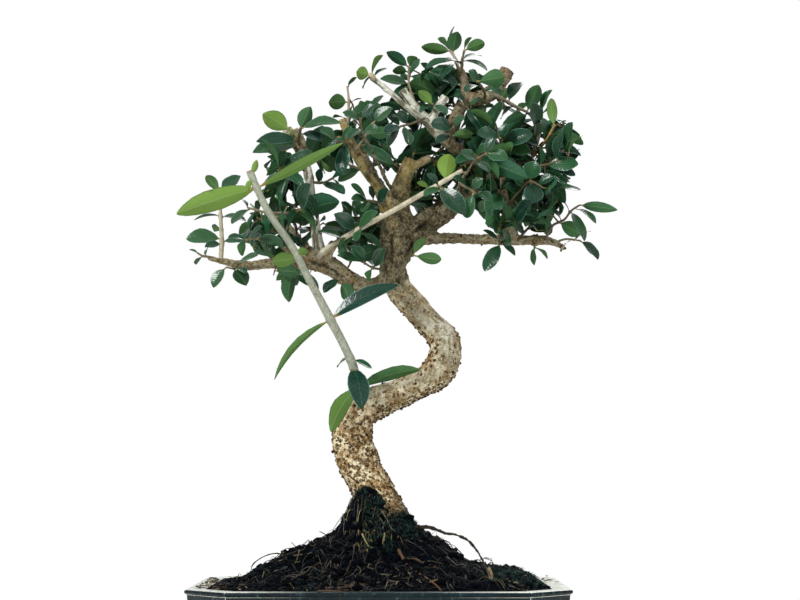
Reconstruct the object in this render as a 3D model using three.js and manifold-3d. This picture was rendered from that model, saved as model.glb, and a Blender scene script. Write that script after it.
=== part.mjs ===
// An olive bonsai in its glazed pot: one grown piece of trunk and limbs, the leafy sprays on it,
// the soil mound, the pot on its four feet and the two screens over its drain holes.
// Millimetres, +Z up. X runs along the pot's length, and -Y is the front.
import * as THREE from "three";
import { mergeVertices } from "three/addons/utils/BufferGeometryUtils.js";
import Module from "manifold-3d";

const wasm = await Module();
wasm.setup();

const GAP = 0.3; // between pieces that touch

const POT_X = -13; // the pot's middle
const POT_LENGTH = 236;
const POT_DEPTH = 176;
const POT_HEIGHT = 75;
const POT_CORNER = 27; // the chamfer that cuts each corner
const POT_TAPER = 6; // each wall leans out by this much from foot to rim
const LIP_HEIGHT = 3;
const LIP_OVERHANG = 1.5;
const RIM_WIDTH = 12;
const FOOT_HEIGHT = 8;
const FOOT_LENGTH = 46;
const FOOT_DEPTH = 40;
const FOOT_INSET = 3;
const FLOOR_THICKNESS = 7;
const PANEL_MARGIN = 5; // frame left round each recessed panel
const PANEL_DEPTH = 1.5;
const PANEL_CORNER = 7;
const DRAIN_RADIUS = 10;
const DRAIN_SPACING = 96;

const SCREEN_SIZE = 34;
const SCREEN_THICKNESS = 1.2;
const SCREEN_HOLES = 2; // holes along each side
const SCREEN_BAR = 3;

const SOIL_EDGE = 71; // the soil's height along the pot's wall
const SOIL_ROUGHNESS = 2.5;
const SOIL_STEP = 36; // length of a stretch along the soil's outline
const MOUND_FOOT = new THREE.Vector2(-14, 0); // the trunk's place on the mound
// The mound's height over the way from the trunk (0) to the wall (1), to the left and to the right.
const MOUND_LEFT = [
  [0, 126], [0.15, 122], [0.25, 110], [0.4, 101], [0.56, 95], [0.72, 87], [0.88, 75], [1, SOIL_EDGE],
];
const MOUND_RIGHT = [
  [0, 126], [0.2, 116], [0.32, 106], [0.44, 99], [0.54, 89], [0.7, 85], [0.88, 83], [1, SOIL_EDGE + 1],
];
const MOUND_RINGS = [0.13, 0.28, 0.44, 0.62, 0.82, 1];

const BARK_ROUGHNESS = 0.05; // share of the trunk's radius
const TRUNK_SIDES = 12;
const LIMB_SIDES = 6;
const SHOOT_SIDES = 5; // of the two long young shoots
const TWIG_SIDES = 3;

const LEAF_THICKNESS = 0.7;
const LEAF_ARCH = 0.06; // rise of a leaf's middle, as a share of its length
const LONG_LEAF = 26; // a leaf at least this long gets one more station
// Stations along a leaf, as shares of its length, and its half width there, as shares of the widest.
const LEAF_FORM = [[0, 0], [0.36, 1], [0.76, 0.84], [1, 0]];
const LONG_LEAF_FORM = [[0, 0], [0.16, 0.5], [0.42, 1], [0.72, 0.82], [1, 0]];
const LEAF_WIDTH_SHARE = 0.56; // of a pair leaf's length
const LEAF_CLEARANCE = 2.4; // between sample points of two leaves on different sprays
const SPRAY_CLEARANCE = 1.5; // the same on one spray
const WOOD_CLEARANCE = 1.1; // from a leaf's sample points to the wood's surface
const SAMPLE_STEP = 1.9;
const LEAF_TRIES = 16;
const TOWARD_FRONT = new THREE.Vector3(0, -1, 0);

// The limbs' routes, chosen by hand: x, y, z and radius at each bend.
const LIMBS = {
  trunk: [
    [-10, 0, 86, 15.4], [-13, 0, 102, 19.3], [-14, 0, 116, 20], [-15, 1, 124, 16.2],
    [-17, 2, 132, 13.9], [-21, 3, 141, 13.3], [-27, 4, 153, 13.3], [-31, 5, 165, 12.7],
    [-31, 5, 175, 12.7], [-27, 4, 184, 12.1], [-19, 2, 190, 10.7], [-7, 0, 194, 9.7],
    [10, -3, 202, 9.4], [21, -5, 208, 10.4], [28, -7, 218, 10.7], [29, -7, 229, 10.4],
    [24, -6, 237, 9.1], [18, -5, 243, 8.4], [8, -3, 255, 8.7], [0, -1, 264, 9.1], [-4, 0, 273, 8.8],
    [-5, 0, 281, 8.8], [-2, 0, 290, 10.2], [-1, 0, 299, 11.5], [-1, 0, 309, 10.2],
    [-2, -2, 320, 8.5], [1, -8, 333, 5.9], [5, -10, 343, 5.2], [8, -10, 349, 4.9],
  ],
  left_branch: [
    [-5, 0, 274, 6.2], [-18, -4, 266, 5.5], [-32, -8, 270, 5.5], [-44, -12, 278, 6.2],
    [-53, -14, 282, 7.1], [-65, -14, 282, 5.2], [-81, -11, 281, 3.6], [-98, -12, 279, 2.9],
    [-113, -18, 281, 2.2], [-123, -22, 283, 1.5],
  ],
  left_riser: [
    [-52, -14, 285, 4.5], [-54, -10, 299, 3.6], [-58, -6, 320, 3.3], [-60, -4, 340, 3],
    [-66, -2, 357, 3.3], [-71, 0, 365, 3.6], [-75, 2, 372, 3.6],
  ],
  golden_limb: [
    [-8, -3, 317, 5.2], [-14, -8, 329, 3.3], [-22, -10, 341, 2.9], [-28, -10, 352, 3.6],
    [-33, -10, 363, 2.9], [-38, -10, 376, 2.9],
  ],
  crown_stub: [
    [5, -10, 341, 3.3], [12, -12, 346, 2.6], [20, -12, 350, 2.3],
  ],
  right_limb: [
    [1, 0, 299, 8.5], [18, 3, 310, 7.9], [33, 4, 321, 7.3], [46, 4, 333, 5.9], [58, 4, 341, 4.6],
    [72, 8, 347, 3.3], [84, 10, 353, 2.7], [89, 10, 358, 2.3],
  ],
  diagonal_limb: [
    [57, 4, 341, 4.3], [46, 0, 351, 4], [34, -6, 359, 3.9], [24, -10, 367, 3.9],
    [18, -12, 374, 3.7], [10, -17, 382, 2.9], [1, -21, 393, 2.9],
  ],
  pale_stub: [
    [18, -13, 373, 2.4], [3, -24, 382, 2.1], [-10, -28, 393, 1.9], [-19, -30, 399, 1.8],
  ],
  short_stub: [
    [20, -12, 372, 2.9], [24, -15, 381, 2.7], [30, -17, 390, 2.7],
  ],
  top_limb: [
    [32, -5, 360, 3.9], [34, 0, 372, 4.3], [39, 4, 384, 4.3], [43, 6, 396, 3.3], [42, 8, 408, 3],
    [39, 8, 415, 2.4],
  ],
  top_knob: [
    [41, 6, 392, 4], [52, 8, 394, 4.7], [61, 10, 398, 5.3], [67, 10, 405, 5], [72, 10, 414, 5.4],
  ],
  lower_right: [
    [3, 4, 299, 5.3], [30, 2, 299, 3.6], [52, 0, 298, 3.3], [75, -2, 297, 3.3], [92, -2, 297, 3.3],
    [100, -2, 296, 2.6], [108, -2, 291, 1.4],
  ],
  right_riser: [
    [75, -2, 297, 3.3], [73, -4, 304, 3.9], [71, -6, 312, 3.3], [69, -8, 320, 2.9],
    [67, -10, 338, 1.7],
  ],
  back_left_limb: [
    [-3, 6, 313, 5.3], [-10, 28, 332, 3.7], [-19, 48, 351, 2.9], [-26, 60, 369, 2.1],
  ],
  back_right_limb: [
    [26, 8, 317, 5.3], [39, 34, 336, 3.7], [53, 56, 358, 2.9], [63, 68, 378, 2.1],
  ],
  far_left_limb: [
    [-53, -10, 283, 4.5], [-63, 16, 295, 2.9], [-75, 36, 311, 2.3], [-85, 50, 327, 1.8],
  ],
  front_right_limb: [
    [18, -4, 308, 4.6], [27, -26, 312, 3], [35, -44, 321, 2.3], [41, -56, 333, 1.8],
  ],
  front_left_limb: [
    [-1, -6, 323, 3.9], [-8, -26, 331, 2.8], [-15, -42, 343, 2.2], [-21, -52, 354, 1.6],
  ],
  near_left_limb: [
    [-62, -18, 282, 3.2], [-72, -38, 286, 2.3], [-84, -52, 292, 1.6],
  ],
  arching_root: [
    [-10, -6, 109, 4.5], [8, -16, 111, 2.3], [20, -24, 111, 1.8], [28, -29, 108, 1.6],
    [35, -33, 107, 1.6], [42, -38, 104, 1.5], [48, -44, 97, 1.4], [52, -52, 89, 1.3],
    [55, -60, 81, 1.2], [55, -61, 77, 1],
  ],
  left_root: [
    [-18, 2, 110, 11.6], [-35, 0, 102, 6.4], [-53, -4, 92, 3.2],
  ],
  right_root: [
    [-9, 2, 110, 11.6], [6, 4, 101, 6.5], [23, 8, 91, 3.2],
  ],
};

// The sprays, chosen by hand. Each twig is a route like a limb's. A leaf is its place on the twig
// (0 at the start, 1 at the end), its tip's x, y and z, its width and the turn of its upper face
// in degrees. Pairs gives a number of leaf pairs, their length and where on the twig they start.
const SPRAYS = {
  shoot_front: {
    twig: [
      [-26, -7, 194, 3.5], [-28, -16, 206, 2.9], [-31, -22, 216, 2.8], [-37, -28, 229, 2.7],
      [-44, -34, 242, 2.8], [-52, -40, 257, 2.5], [-58, -45, 268, 2.4], [-63, -50, 278, 2.4],
      [-68, -54, 287, 2.3], [-76, -60, 298, 2.2], [-83, -65, 309, 2.2], [-93, -70, 331, 2.1],
    ],
    leaves: [
      [0.93, -137, -78, 303, 14, 158], [0.93, -36, -72, 350, 10, 140], [0.35, -1, -30, 265, 12, 30],
      [0.35, -79, -52, 203, 8, 150], [0.18, -41, -12, 214, 7, 70], [0.17, -18, -22, 212, 7, 60],
      [0.14, -24, -40, 186, 14, 12], [0.05, -45, -26, 171, 12, 155], [0.04, 13, -24, 211, 10, 140],
      [0.62, -79, -60, 276, 10, 160], [0.63, -58, -58, 284, 6, 150], [0.97, -94, -78, 316, 4, 150],
      [0.98, -88, -74, 337, 4, 165],
    ],
    pairs: [0, 16, 0.45],
  },
  shoot_tan: {
    twig: [
      [-50, -24, 286, 2.1], [-38, -26, 294, 1.9], [-22, -28, 303, 1.9], [-3, -30, 313, 1.9],
      [18, -32, 325, 1.8], [40, -32, 338, 1.7],
    ],
    leaves: [
      [0.87, 31, -34, 348, 13, 165], [0.77, 11, -40, 329, 4, 150], [0.29, -28, -38, 292, 6, 40],
      [0.25, -41, -38, 309, 10, 20], [0.26, -14, -40, 310, 10, 40], [0.16, -52, -32, 299, 10, 60],
      [0.18, -39, -36, 282, 8, 100],
    ],
    pairs: [0, 16, 0.45],
  },
  left_tip: {
    twig: [
      [-121, -22, 283, 1.3], [-127, -24, 284, 1], [-130, -24, 286, 0.8],
    ],
    leaves: [
      [0.91, -135, -24, 288, 4, 70], [0.41, -124, -20, 290, 5, 60], [0.56, -132, -16, 280, 6, 90],
    ],
    pairs: [0, 16, 0.45],
  },
  left_under: {
    twig: [
      [-106, -15, 280, 1.3], [-106, -22, 276, 1.1], [-111, -28, 276, 0.8],
    ],
    leaves: [
      [1, -119, -31, 263, 9, 30], [0.59, -98, -27, 265, 11, 25], [0.21, -91, -28, 284, 9, 60],
      [0.53, -98, -34, 272, 7, 60],
    ],
    pairs: [0, 16, 0.45],
  },
  left_upright: {
    twig: [
      [-115, -18, 281, 1.5], [-116, -8, 296, 1.4], [-118, 1, 314, 1.2], [-119, 6, 331, 0.9],
    ],
    leaves: [
      [0.99, -128, 4, 341, 7, 165], [0.99, -106, 10, 342, 10, 25], [0.68, -135, -3, 311, 10, 80],
      [0.66, -101, -1, 311, 10, 60], [0.34, -139, -10, 297, 12, 30], [0.27, -126, -20, 291, 6, 40],
      [0.3, -98, -12, 296, 10, 50], [0.48, -124, 20, 306, 8, 100],
    ],
    pairs: [0, 16, 0.45],
  },
  left_mid: {
    twig: [
      [-57, -8, 319, 1.8], [-71, -17, 313, 1.5], [-85, -24, 312, 1.3], [-97, -30, 314, 1],
    ],
    leaves: [
      [0.97, -107, -36, 303, 8, 45], [0.88, -97, -22, 301, 8, 70], [0.73, -86, -33, 295, 9, 40],
      [0.2, -78, -22, 317, 8, 60], [0.52, -73, -30, 300, 7, 120], [1, -103, -26, 322, 6, 70],
    ],
    pairs: [0, 16, 0.45],
  },
  left_low_front: {
    twig: [
      [-84, -52, 291, 1.2], [-91, -60, 290, 1.1], [-96, -66, 288, 0.8],
    ],
    leaves: [
      [0.46, -72, -60, 285, 10, 45], [0.91, -105, -72, 290, 7, 60], [0.73, -85, -66, 297, 6, 60],
      [0.91, -98, -76, 278, 7, 120],
    ],
    pairs: [0, 16, 0.45],
  },
  left_long_leaf: {
    twig: [
      [-66, -15, 280, 1.3], [-68, -18, 275, 1], [-67, -19, 271, 0.8],
    ],
    leaves: [
      [0.59, -72, -22, 254, 10, 150], [0.81, -52, -26, 262, 10, 35], [0.72, -80, -12, 270, 8, 120],
    ],
    pairs: [0, 16, 0.45],
  },
  bend_leaf: {
    twig: [
      [-40, -12, 276, 1.2], [-38, -18, 268, 0.9],
    ],
    leaves: [
      [1, -33, -20, 256, 10, 160], [0.79, -49, -22, 261, 8, 40], [0.91, -27, -8, 262, 8, 120],
    ],
    pairs: [0, 16, 0.45],
  },
  crotch: {
    twig: [
      [-10, -6, 278, 1.3], [-17, -16, 277, 1.2], [-24, -24, 280, 0.9],
    ],
    leaves: [
      [0.52, -10, -28, 288, 9, 25], [0.88, -30, -28, 289, 8, 30], [0.95, -40, -30, 284, 10, 60],
      [0.59, -20, -24, 267, 8, 120],
    ],
    pairs: [0, 16, 0.45],
  },
  left_pale_twig: {
    twig: [
      [-70, -14, 282, 1.4], [-74, 4, 301, 1.3], [-76, 18, 319, 1.2], [-78, 28, 337, 0.9],
    ],
    leaves: [
      [0.99, -91, 24, 337, 8, 60], [1, -87, 32, 350, 9, 60], [1, -71, 26, 351, 9, 30],
      [0.6, -66, 25, 312, 8, 100], [0.78, -88, 31, 329, 7, 110], [0.35, -65, 12, 295, 7, 60],
    ],
    pairs: [0, 16, 0.45],
  },
  left_top: {
    twig: [
      [-66, -3, 358, 2], [-66, -16, 362, 1.6], [-64, -26, 367, 1.2],
    ],
    leaves: [
      [0.55, -89, -22, 377, 13, 165], [0.44, -92, -22, 358, 9, 30], [0.17, -95, -20, 353, 12, 20],
      [0.9, -58, -20, 382, 10, 160], [0.96, -38, -29, 370, 12, 45], [0.73, -50, -25, 359, 9, 40],
    ],
    pairs: [0, 16, 0.45],
  },
  left_top_back: {
    twig: [
      [-62, -1, 342, 1.6], [-59, 19, 354, 1.3], [-56, 34, 365, 1.1],
    ],
    leaves: [
      [0.97, -45, 27, 348, 11, 160], [0.93, -48, 34, 375, 9, 40], [0.7, -69, 35, 365, 9, 60],
      [0.55, -68, 29, 349, 7, 110],
    ],
    pairs: [1, 15, 0.6],
  },
  left_inner: {
    twig: [
      [-60, -6, 335, 1.6], [-51, -3, 335, 1.2], [-44, 2, 339, 1],
    ],
    leaves: [
      [1, -40, -2, 330, 7, 60], [0.33, -51, -13, 342, 7, 30], [0.4, -36, -17, 326, 10, 50],
      [0.86, -33, -5, 343, 8, 45], [0.26, -61, -16, 324, 8, 110],
    ],
    pairs: [0, 16, 0.45],
  },
  golden_tip: {
    twig: [
      [-35, -11, 368, 1.6], [-34, -6, 380, 1.4], [-34, 0, 392, 1.2], [-35, 4, 401, 0.9],
    ],
    leaves: [
      [0.64, -47, -6, 388, 11, 150], [0.98, -29, 2, 407, 6, 100], [0.6, -26, 2, 393, 6, 80],
      [0.27, -12, -9, 385, 11, 150], [0.25, -44, 4, 381, 7, 60],
    ],
    pairs: [0, 16, 0.45],
  },
  golden_right: {
    twig: [
      [-29, -13, 353, 1.4], [-23, -24, 361, 1.2], [-17, -32, 369, 1],
    ],
    leaves: [
      [1, -5, -36, 378, 10, 30], [0.64, -6, -35, 363, 9, 150], [0.58, -32, -32, 364, 7, 60],
      [0.31, -4, -34, 342, 9, 25], [0.94, -22, -30, 379, 8, 40], [0.81, -9, -20, 373, 8, 90],
    ],
    pairs: [0, 16, 0.45],
  },
  golden_left: {
    twig: [
      [-31, -13, 358, 1.3], [-36, -27, 357, 1], [-41, -38, 356, 0.8],
    ],
    leaves: [
      [0.5, -38, -34, 336, 10, 20], [0.95, -51, -39, 364, 8, 40], [0.9, -47, -40, 348, 8, 60],
      [0.66, -31, -35, 365, 6, 60],
    ],
    pairs: [0, 16, 0.45],
  },
  fork_left: {
    twig: [
      [-9, -9, 319, 1.4], [-16, -18, 320, 1.2], [-21, -22, 320, 0.9],
    ],
    leaves: [
      [0.5, -8, -26, 326, 8, 35], [0.91, -23, -28, 312, 8, 60], [0.96, -31, -26, 321, 8, 40],
      [0.72, -19, -24, 329, 7, 60], [1, -31, -28, 330, 8, 60],
    ],
    pairs: [0, 16, 0.45],
  },
  stub_tip: {
    twig: [
      [-17, -31, 398, 1.3], [-20, -32, 401, 1],
    ],
    leaves: [
      [0.62, -28, -34, 402, 9, 165], [0.5, -12, -30, 414, 9, 100], [0.19, -9, -28, 406, 6, 60],
      [0.5, -24, -30, 393, 6, 90],
    ],
    pairs: [0, 16, 0.45],
  },
  top_left: {
    twig: [
      [13, -15, 380, 1.7], [9, -1, 391, 1.5], [6, 12, 405, 1.3], [6, 22, 419, 1],
    ],
    leaves: [
      [0.98, -9, 17, 428, 8, 150], [0.89, -5, 13, 414, 7, 140], [0.68, -13, 6, 407, 9, 30],
      [0.98, 11, 19, 425, 9, 150], [0.64, -3, 3, 394, 9, 40], [0.82, 20, 13, 407, 9, 40],
      [0.47, 19, 9, 394, 9, 60], [0.39, -3, 11, 388, 8, 60],
    ],
    pairs: [1, 14, 0.5],
  },
  centre_high: {
    twig: [
      [16, -16, 375, 1.4], [7, -33, 368, 1.2], [0, -44, 364, 0.9],
    ],
    leaves: [
      [0.93, -10, -47, 360, 8, 35], [0.72, -1, -43, 374, 8, 30], [0.86, 6, -48, 352, 8, 40],
      [0.97, -8, -46, 352, 8, 50],
    ],
    pairs: [0, 16, 0.45],
  },
  short_stub_leaf: {
    twig: [
      [23, -18, 379, 1.3], [21, -24, 383, 1],
    ],
    leaves: [
      [0.85, 12, -26, 391, 7, 165], [0.75, 30, -34, 375, 8, 30], [0.6, 13, -34, 376, 7, 50],
    ],
    pairs: [0, 16, 0.45],
  },
  top_crown: {
    twig: [
      [39, 8, 414, 2], [37, 10, 421, 1.6], [34, 13, 428, 1.2],
    ],
    leaves: [
      [0.93, 14, 7, 429, 8, 150], [0.77, 38, 6, 439, 10, 165], [1, 36, 16, 445, 9, 80],
      [0.45, 17, 2, 414, 9, 50], [0.35, 26, -1, 405, 9, 40], [0.93, 26, 21, 438, 8, 100],
    ],
    pairs: [0, 16, 0.45],
  },
  top_bud: {
    twig: [
      [41, 6, 411, 1.7], [41, -8, 416, 1.4], [42, -17, 420, 1.1],
    ],
    leaves: [
      [1, 55, -22, 424, 8, 150], [0.58, 57, -18, 407, 10, 60], [0.67, 54, -3, 421, 7, 60],
      [0.96, 46, -9, 431, 7, 100], [0.39, 30, -19, 413, 7, 60],
    ],
    pairs: [0, 16, 0.45],
  },
  top_right: {
    twig: [
      [56, 2, 393, 1.6], [54, -16, 395, 1.3], [50, -27, 397, 1],
    ],
    leaves: [
      [1, 67, -36, 398, 12, 160], [0.8, 45, -29, 404, 8, 40], [0.47, 65, -24, 391, 8, 40],
      [0.73, 42, -34, 389, 8, 50],
    ],
    pairs: [0, 16, 0.45],
  },
  twig_right: {
    twig: [
      [63, 6, 396, 2.3], [71, 9, 392, 1.9], [79, 15, 389, 1.7], [86, 20, 387, 1.2],
    ],
    leaves: [
      [0.97, 93, 17, 405, 11, 165], [0.39, 82, 17, 408, 10, 30], [0.73, 77, 8, 368, 14, 15],
      [0.25, 59, -1, 373, 11, 40], [0.91, 92, 28, 379, 9, 60], [0.55, 68, 25, 384, 9, 60],
    ],
    pairs: [0, 16, 0.45],
  },
  hanging: {
    twig: [
      [40, -3, 388, 1.5], [43, -12, 384, 1.2], [44, -16, 382, 0.9],
    ],
    leaves: [
      [0.87, 55, -22, 366, 11, 25], [0.8, 36, -20, 390, 8, 60], [0.92, 53, -24, 386, 8, 60],
    ],
    pairs: [0, 16, 0.45],
  },
  front_high: {
    twig: [
      [32, -12, 360, 1.4], [33, -28, 362, 1.2], [34, -37, 365, 0.9],
    ],
    leaves: [
      [0.88, 20, -43, 366, 10, 20], [0.49, 47, -32, 362, 7, 150], [0.95, 41, -39, 372, 8, 50],
      [0.62, 23, -40, 354, 8, 40],
    ],
    pairs: [0, 16, 0.45],
  },
  mass_front: {
    twig: [
      [71, 2, 346, 1.7], [67, -17, 353, 1.4], [64, -32, 359, 1],
    ],
    leaves: [
      [0.75, 85, -32, 362, 12, 20], [0.97, 50, -38, 362, 10, 30], [0.56, 84, -27, 351, 10, 25],
      [0.69, 52, -35, 353, 10, 25], [0.97, 69, -34, 368, 9, 40], [0.87, 77, -18, 372, 10, 60],
    ],
    pairs: [1, 16, 0.5],
  },
  long_green: {
    twig: [
      [46, -4, 348, 1.6], [47, -25, 347, 1.3], [48, -38, 347, 1],
    ],
    leaves: [
      [0.87, 82, -44, 331, 12, 155], [0.74, 35, -43, 341, 8, 40], [0.87, 43, -42, 354, 8, 50],
      [0.87, 57, -48, 351, 8, 40],
    ],
    pairs: [0, 16, 0.45],
  },
  cut_twig: {
    twig: [
      [88, 8, 357, 1.9], [92, 13, 367, 1.6], [94, 22, 382, 1.5], [97, 32, 397, 1.4],
    ],
    leaves: [
      [0.52, 115, 13, 373, 10, 25], [0.59, 123, 25, 373, 9, 60], [0.55, 84, 20, 386, 7, 60],
      [0.36, 82, 23, 369, 9, 40], [0.71, 105, 34, 393, 8, 90],
    ],
    pairs: [1, 15, 0.4],
  },
  yellow_twig: {
    twig: [
      [87, 4, 353, 1.7], [91, -12, 356, 1.4], [95, -25, 360, 1.2], [99, -34, 367, 1],
    ],
    leaves: [
      [0.98, 97, -36, 384, 7, 165], [0.82, 118, -33, 356, 8, 130], [0.63, 116, -31, 348, 8, 40],
      [0.43, 80, -25, 359, 8, 30], [0.89, 107, -23, 373, 7, 60],
    ],
    pairs: [0, 16, 0.45],
  },
  right_fan: {
    twig: [
      [80, 8, 350, 1.5], [87, -11, 344, 1.2], [94, -30, 342, 1],
    ],
    leaves: [
      [0.97, 113, -37, 342, 11, 20], [0.89, 112, -33, 335, 8, 40], [0.69, 107, -27, 329, 13, 60],
      [0.81, 96, -16, 354, 8, 60],
    ],
    pairs: [1, 15, 0.5],
  },
  riser_right: {
    twig: [
      [70, -10, 318, 1.6], [76, -23, 325, 1.3], [83, -30, 331, 1.1], [92, -34, 326, 0.8],
    ],
    leaves: [
      [0.72, 86, -33, 344, 12, 15], [0.74, 85, -40, 316, 13, 12], [0.44, 68, -33, 328, 8, 30],
      [0.98, 115, -36, 325, 10, 60], [0.57, 73, -32, 334, 8, 30], [0.87, 97, -37, 333, 8, 40],
    ],
    pairs: [0, 16, 0.45],
  },
  riser_left: {
    twig: [
      [68, -11, 322, 1.4], [64, -20, 327, 1.1],
    ],
    leaves: [
      [0.93, 57, -28, 310, 13, 15], [0.5, 56, -18, 304, 11, 40], [1, 55, -24, 332, 8, 40],
      [0.88, 71, -24, 333, 8, 50],
    ],
    pairs: [0, 16, 0.45],
  },
  under_right: {
    twig: [
      [67, -6, 296, 1.3], [64, -19, 292, 1],
    ],
    leaves: [
      [0.77, 54, -25, 275, 10, 20], [0.38, 69, -30, 298, 11, 15], [0.77, 54, -23, 301, 8, 60],
      [0.62, 75, -18, 286, 7, 60],
    ],
    pairs: [0, 16, 0.45],
  },
  drop_leaf: {
    twig: [
      [88, -4, 296, 1.2], [88, -2, 292, 0.9],
    ],
    leaves: [
      [0.67, 87, -6, 280, 7, 130], [0.83, 97, 3, 286, 7, 100],
    ],
    pairs: [0, 16, 0.45],
  },
  right_mass: {
    twig: [
      [78, -4, 298, 1.4], [83, -1, 304, 1.2], [89, 8, 311, 1],
    ],
    leaves: [
      [0.46, 99, -10, 301, 10, 25], [0.92, 100, 2, 313, 8, 60], [0.3, 72, -14, 307, 8, 30],
      [0.77, 80, -1, 316, 9, 40], [1, 97, 12, 322, 8, 60],
    ],
    pairs: [0, 16, 0.45],
  },
  right_tip: {
    twig: [
      [95, -4, 297, 1.6], [99, -14, 305, 1.4], [106, -20, 308, 1.2], [110, -25, 313, 1],
      [115, -29, 316, 0.8],
    ],
    leaves: [
      [1, 139, -30, 313, 7, 160], [0.91, 125, -32, 304, 9, 60], [0.49, 116, -28, 298, 10, 155],
      [0.8, 118, -36, 293, 9, 40], [0.55, 98, -23, 315, 6, 60], [0.77, 105, -19, 321, 6, 80],
    ],
    pairs: [0, 16, 0.45],
  },
  right_low: {
    twig: [
      [101, 2, 296, 1.4], [111, 21, 301, 1.2], [122, 36, 302, 0.9],
    ],
    leaves: [
      [1, 134, 34, 289, 9, 40], [0.67, 108, 31, 294, 7, 90], [0.8, 129, 38, 310, 7, 60],
    ],
    pairs: [0, 16, 0.45],
  },
  trunk_right: {
    twig: [
      [3, -6, 285, 1.2], [9, -10, 286, 0.9],
    ],
    leaves: [
      [1, 27, -14, 283, 8, 160], [0.89, 16, -12, 297, 7, 150],
    ],
    pairs: [0, 16, 0.45],
  },
  front_right_a: {
    twig: [
      [35, -46, 320, 1.3], [29, -54, 322, 1.1], [24, -58, 323, 0.8],
    ],
    leaves: [
      [0.94, 40, -66, 305, 13, 15], [0.85, 15, -64, 316, 8, 40], [0.96, 17, -60, 331, 7, 50],
    ],
    pairs: [0, 16, 0.45],
  },
  front_right_b: {
    twig: [
      [38, -52, 326, 1.3], [44, -58, 321, 1.1], [47, -62, 318, 0.8],
    ],
    leaves: [
      [0.88, 41, -66, 303, 9, 20], [0.92, 57, -66, 313, 8, 40], [0.73, 51, -64, 327, 8, 40],
      [0.46, 33, -68, 327, 7, 50],
    ],
    pairs: [0, 16, 0.45],
  },
  front_right_tip: {
    twig: [
      [41, -57, 331, 1.2], [46, -63, 338, 1.1], [53, -68, 342, 0.8],
    ],
    leaves: [
      [0.95, 66, -74, 338, 9, 20], [0.67, 38, -72, 342, 8, 30], [1, 58, -70, 351, 8, 40],
      [0.59, 55, -72, 330, 8, 40],
    ],
    pairs: [0, 16, 0.45],
  },
  front_left_tip: {
    twig: [
      [-21, -53, 352, 1.3], [-24, -58, 359, 1.1], [-25, -62, 366, 0.8],
    ],
    leaves: [
      [0.84, -35, -66, 369, 7, 40], [0.92, -16, -64, 374, 7, 40], [0.44, -14, -66, 358, 8, 30],
      [0.6, -32, -66, 352, 7, 40],
    ],
    pairs: [0, 16, 0.45],
  },
  back_left_a: {
    twig: [
      [-19, 51, 351, 1.5], [-31, 62, 357, 1.3], [-43, 69, 364, 1],
    ],
    leaves: [],
    pairs: [4, 17, 0.35],
  },
  back_left_b: {
    twig: [
      [-26, 62, 368, 1.7], [-27, 68, 382, 1.4], [-21, 70, 397, 1],
    ],
    leaves: [],
    pairs: [4, 17, 0.35],
  },
  back_right_a: {
    twig: [
      [53, 59, 357, 1.5], [67, 68, 361, 1.3], [83, 73, 366, 1],
    ],
    leaves: [],
    pairs: [4, 17, 0.35],
  },
  back_right_b: {
    twig: [
      [63, 70, 377, 1.7], [61, 73, 394, 1.4], [55, 73, 412, 1],
    ],
    leaves: [],
    pairs: [4, 17, 0.35],
  },
  back_right_c: {
    twig: [
      [41, 38, 337, 1.5], [55, 54, 336, 1.3], [70, 66, 332, 1],
    ],
    leaves: [],
    pairs: [4, 16, 0.35],
  },
  far_left_a: {
    twig: [
      [-75, 40, 311, 1.4], [-86, 50, 315, 1.2], [-99, 56, 318, 0.9],
    ],
    leaves: [],
    pairs: [3, 15, 0.35],
  },
  far_left_b: {
    twig: [
      [-85, 52, 326, 1.5], [-89, 60, 341, 1.2], [-84, 62, 357, 0.9],
    ],
    leaves: [],
    pairs: [3, 15, 0.35],
  },
  top_back_a: {
    twig: [
      [39, 10, 386, 1.7], [34, 30, 399, 1.4], [25, 46, 415, 1],
    ],
    leaves: [],
    pairs: [4, 16, 0.35],
  },
  top_back_b: {
    twig: [
      [63, 16, 400, 1.7], [70, 36, 396, 1.4], [80, 52, 393, 1],
    ],
    leaves: [],
    pairs: [3, 16, 0.35],
  },
  right_back: {
    twig: [
      [83, 14, 353, 1.6], [94, 34, 352, 1.4], [104, 48, 347, 1],
    ],
    leaves: [],
    pairs: [3, 15, 0.35],
  },
};

const BARK = { color: 0xb5a68a, roughness: 0.9 };
const LEAF_GREEN = [0x24523a, 0x2b5c34, 0x1d4638, 0x3a6a38];
const YOUNG_SHOOTS = ["shoot_front", "shoot_tan"];
const YOUNG_GREEN = 0x6f9436;

// A number from 0 to 1 that follows from a seed, a new one at each call.
function seededRandom(seed) {
  let state = (Math.imul(seed, 2654435761) + 12345) >>> 0;
  return () => {
    state = (Math.imul(state, 1664525) + 1013904223) >>> 0;
    return state / 4294967296;
  };
}

function solidOf(points, faces) {
  const vertProperties = new Float32Array(points.length * 3);
  points.forEach((p, i) => vertProperties.set([p.x, p.y, p.z], 3 * i));
  const triVerts = new Uint32Array(faces.flat());
  return new wasm.Manifold(new wasm.Mesh({ numProp: 3, vertProperties, triVerts }));
}

function solidOfGeometry(geometry) {
  geometry.deleteAttribute("normal");
  geometry.deleteAttribute("uv");
  const merged = mergeVertices(geometry, 1e-4);
  const vertProperties = merged.attributes.position.array;
  const triVerts = new Uint32Array(merged.index.array);
  return new wasm.Manifold(new wasm.Mesh({ numProp: 3, vertProperties, triVerts }));
}

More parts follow.
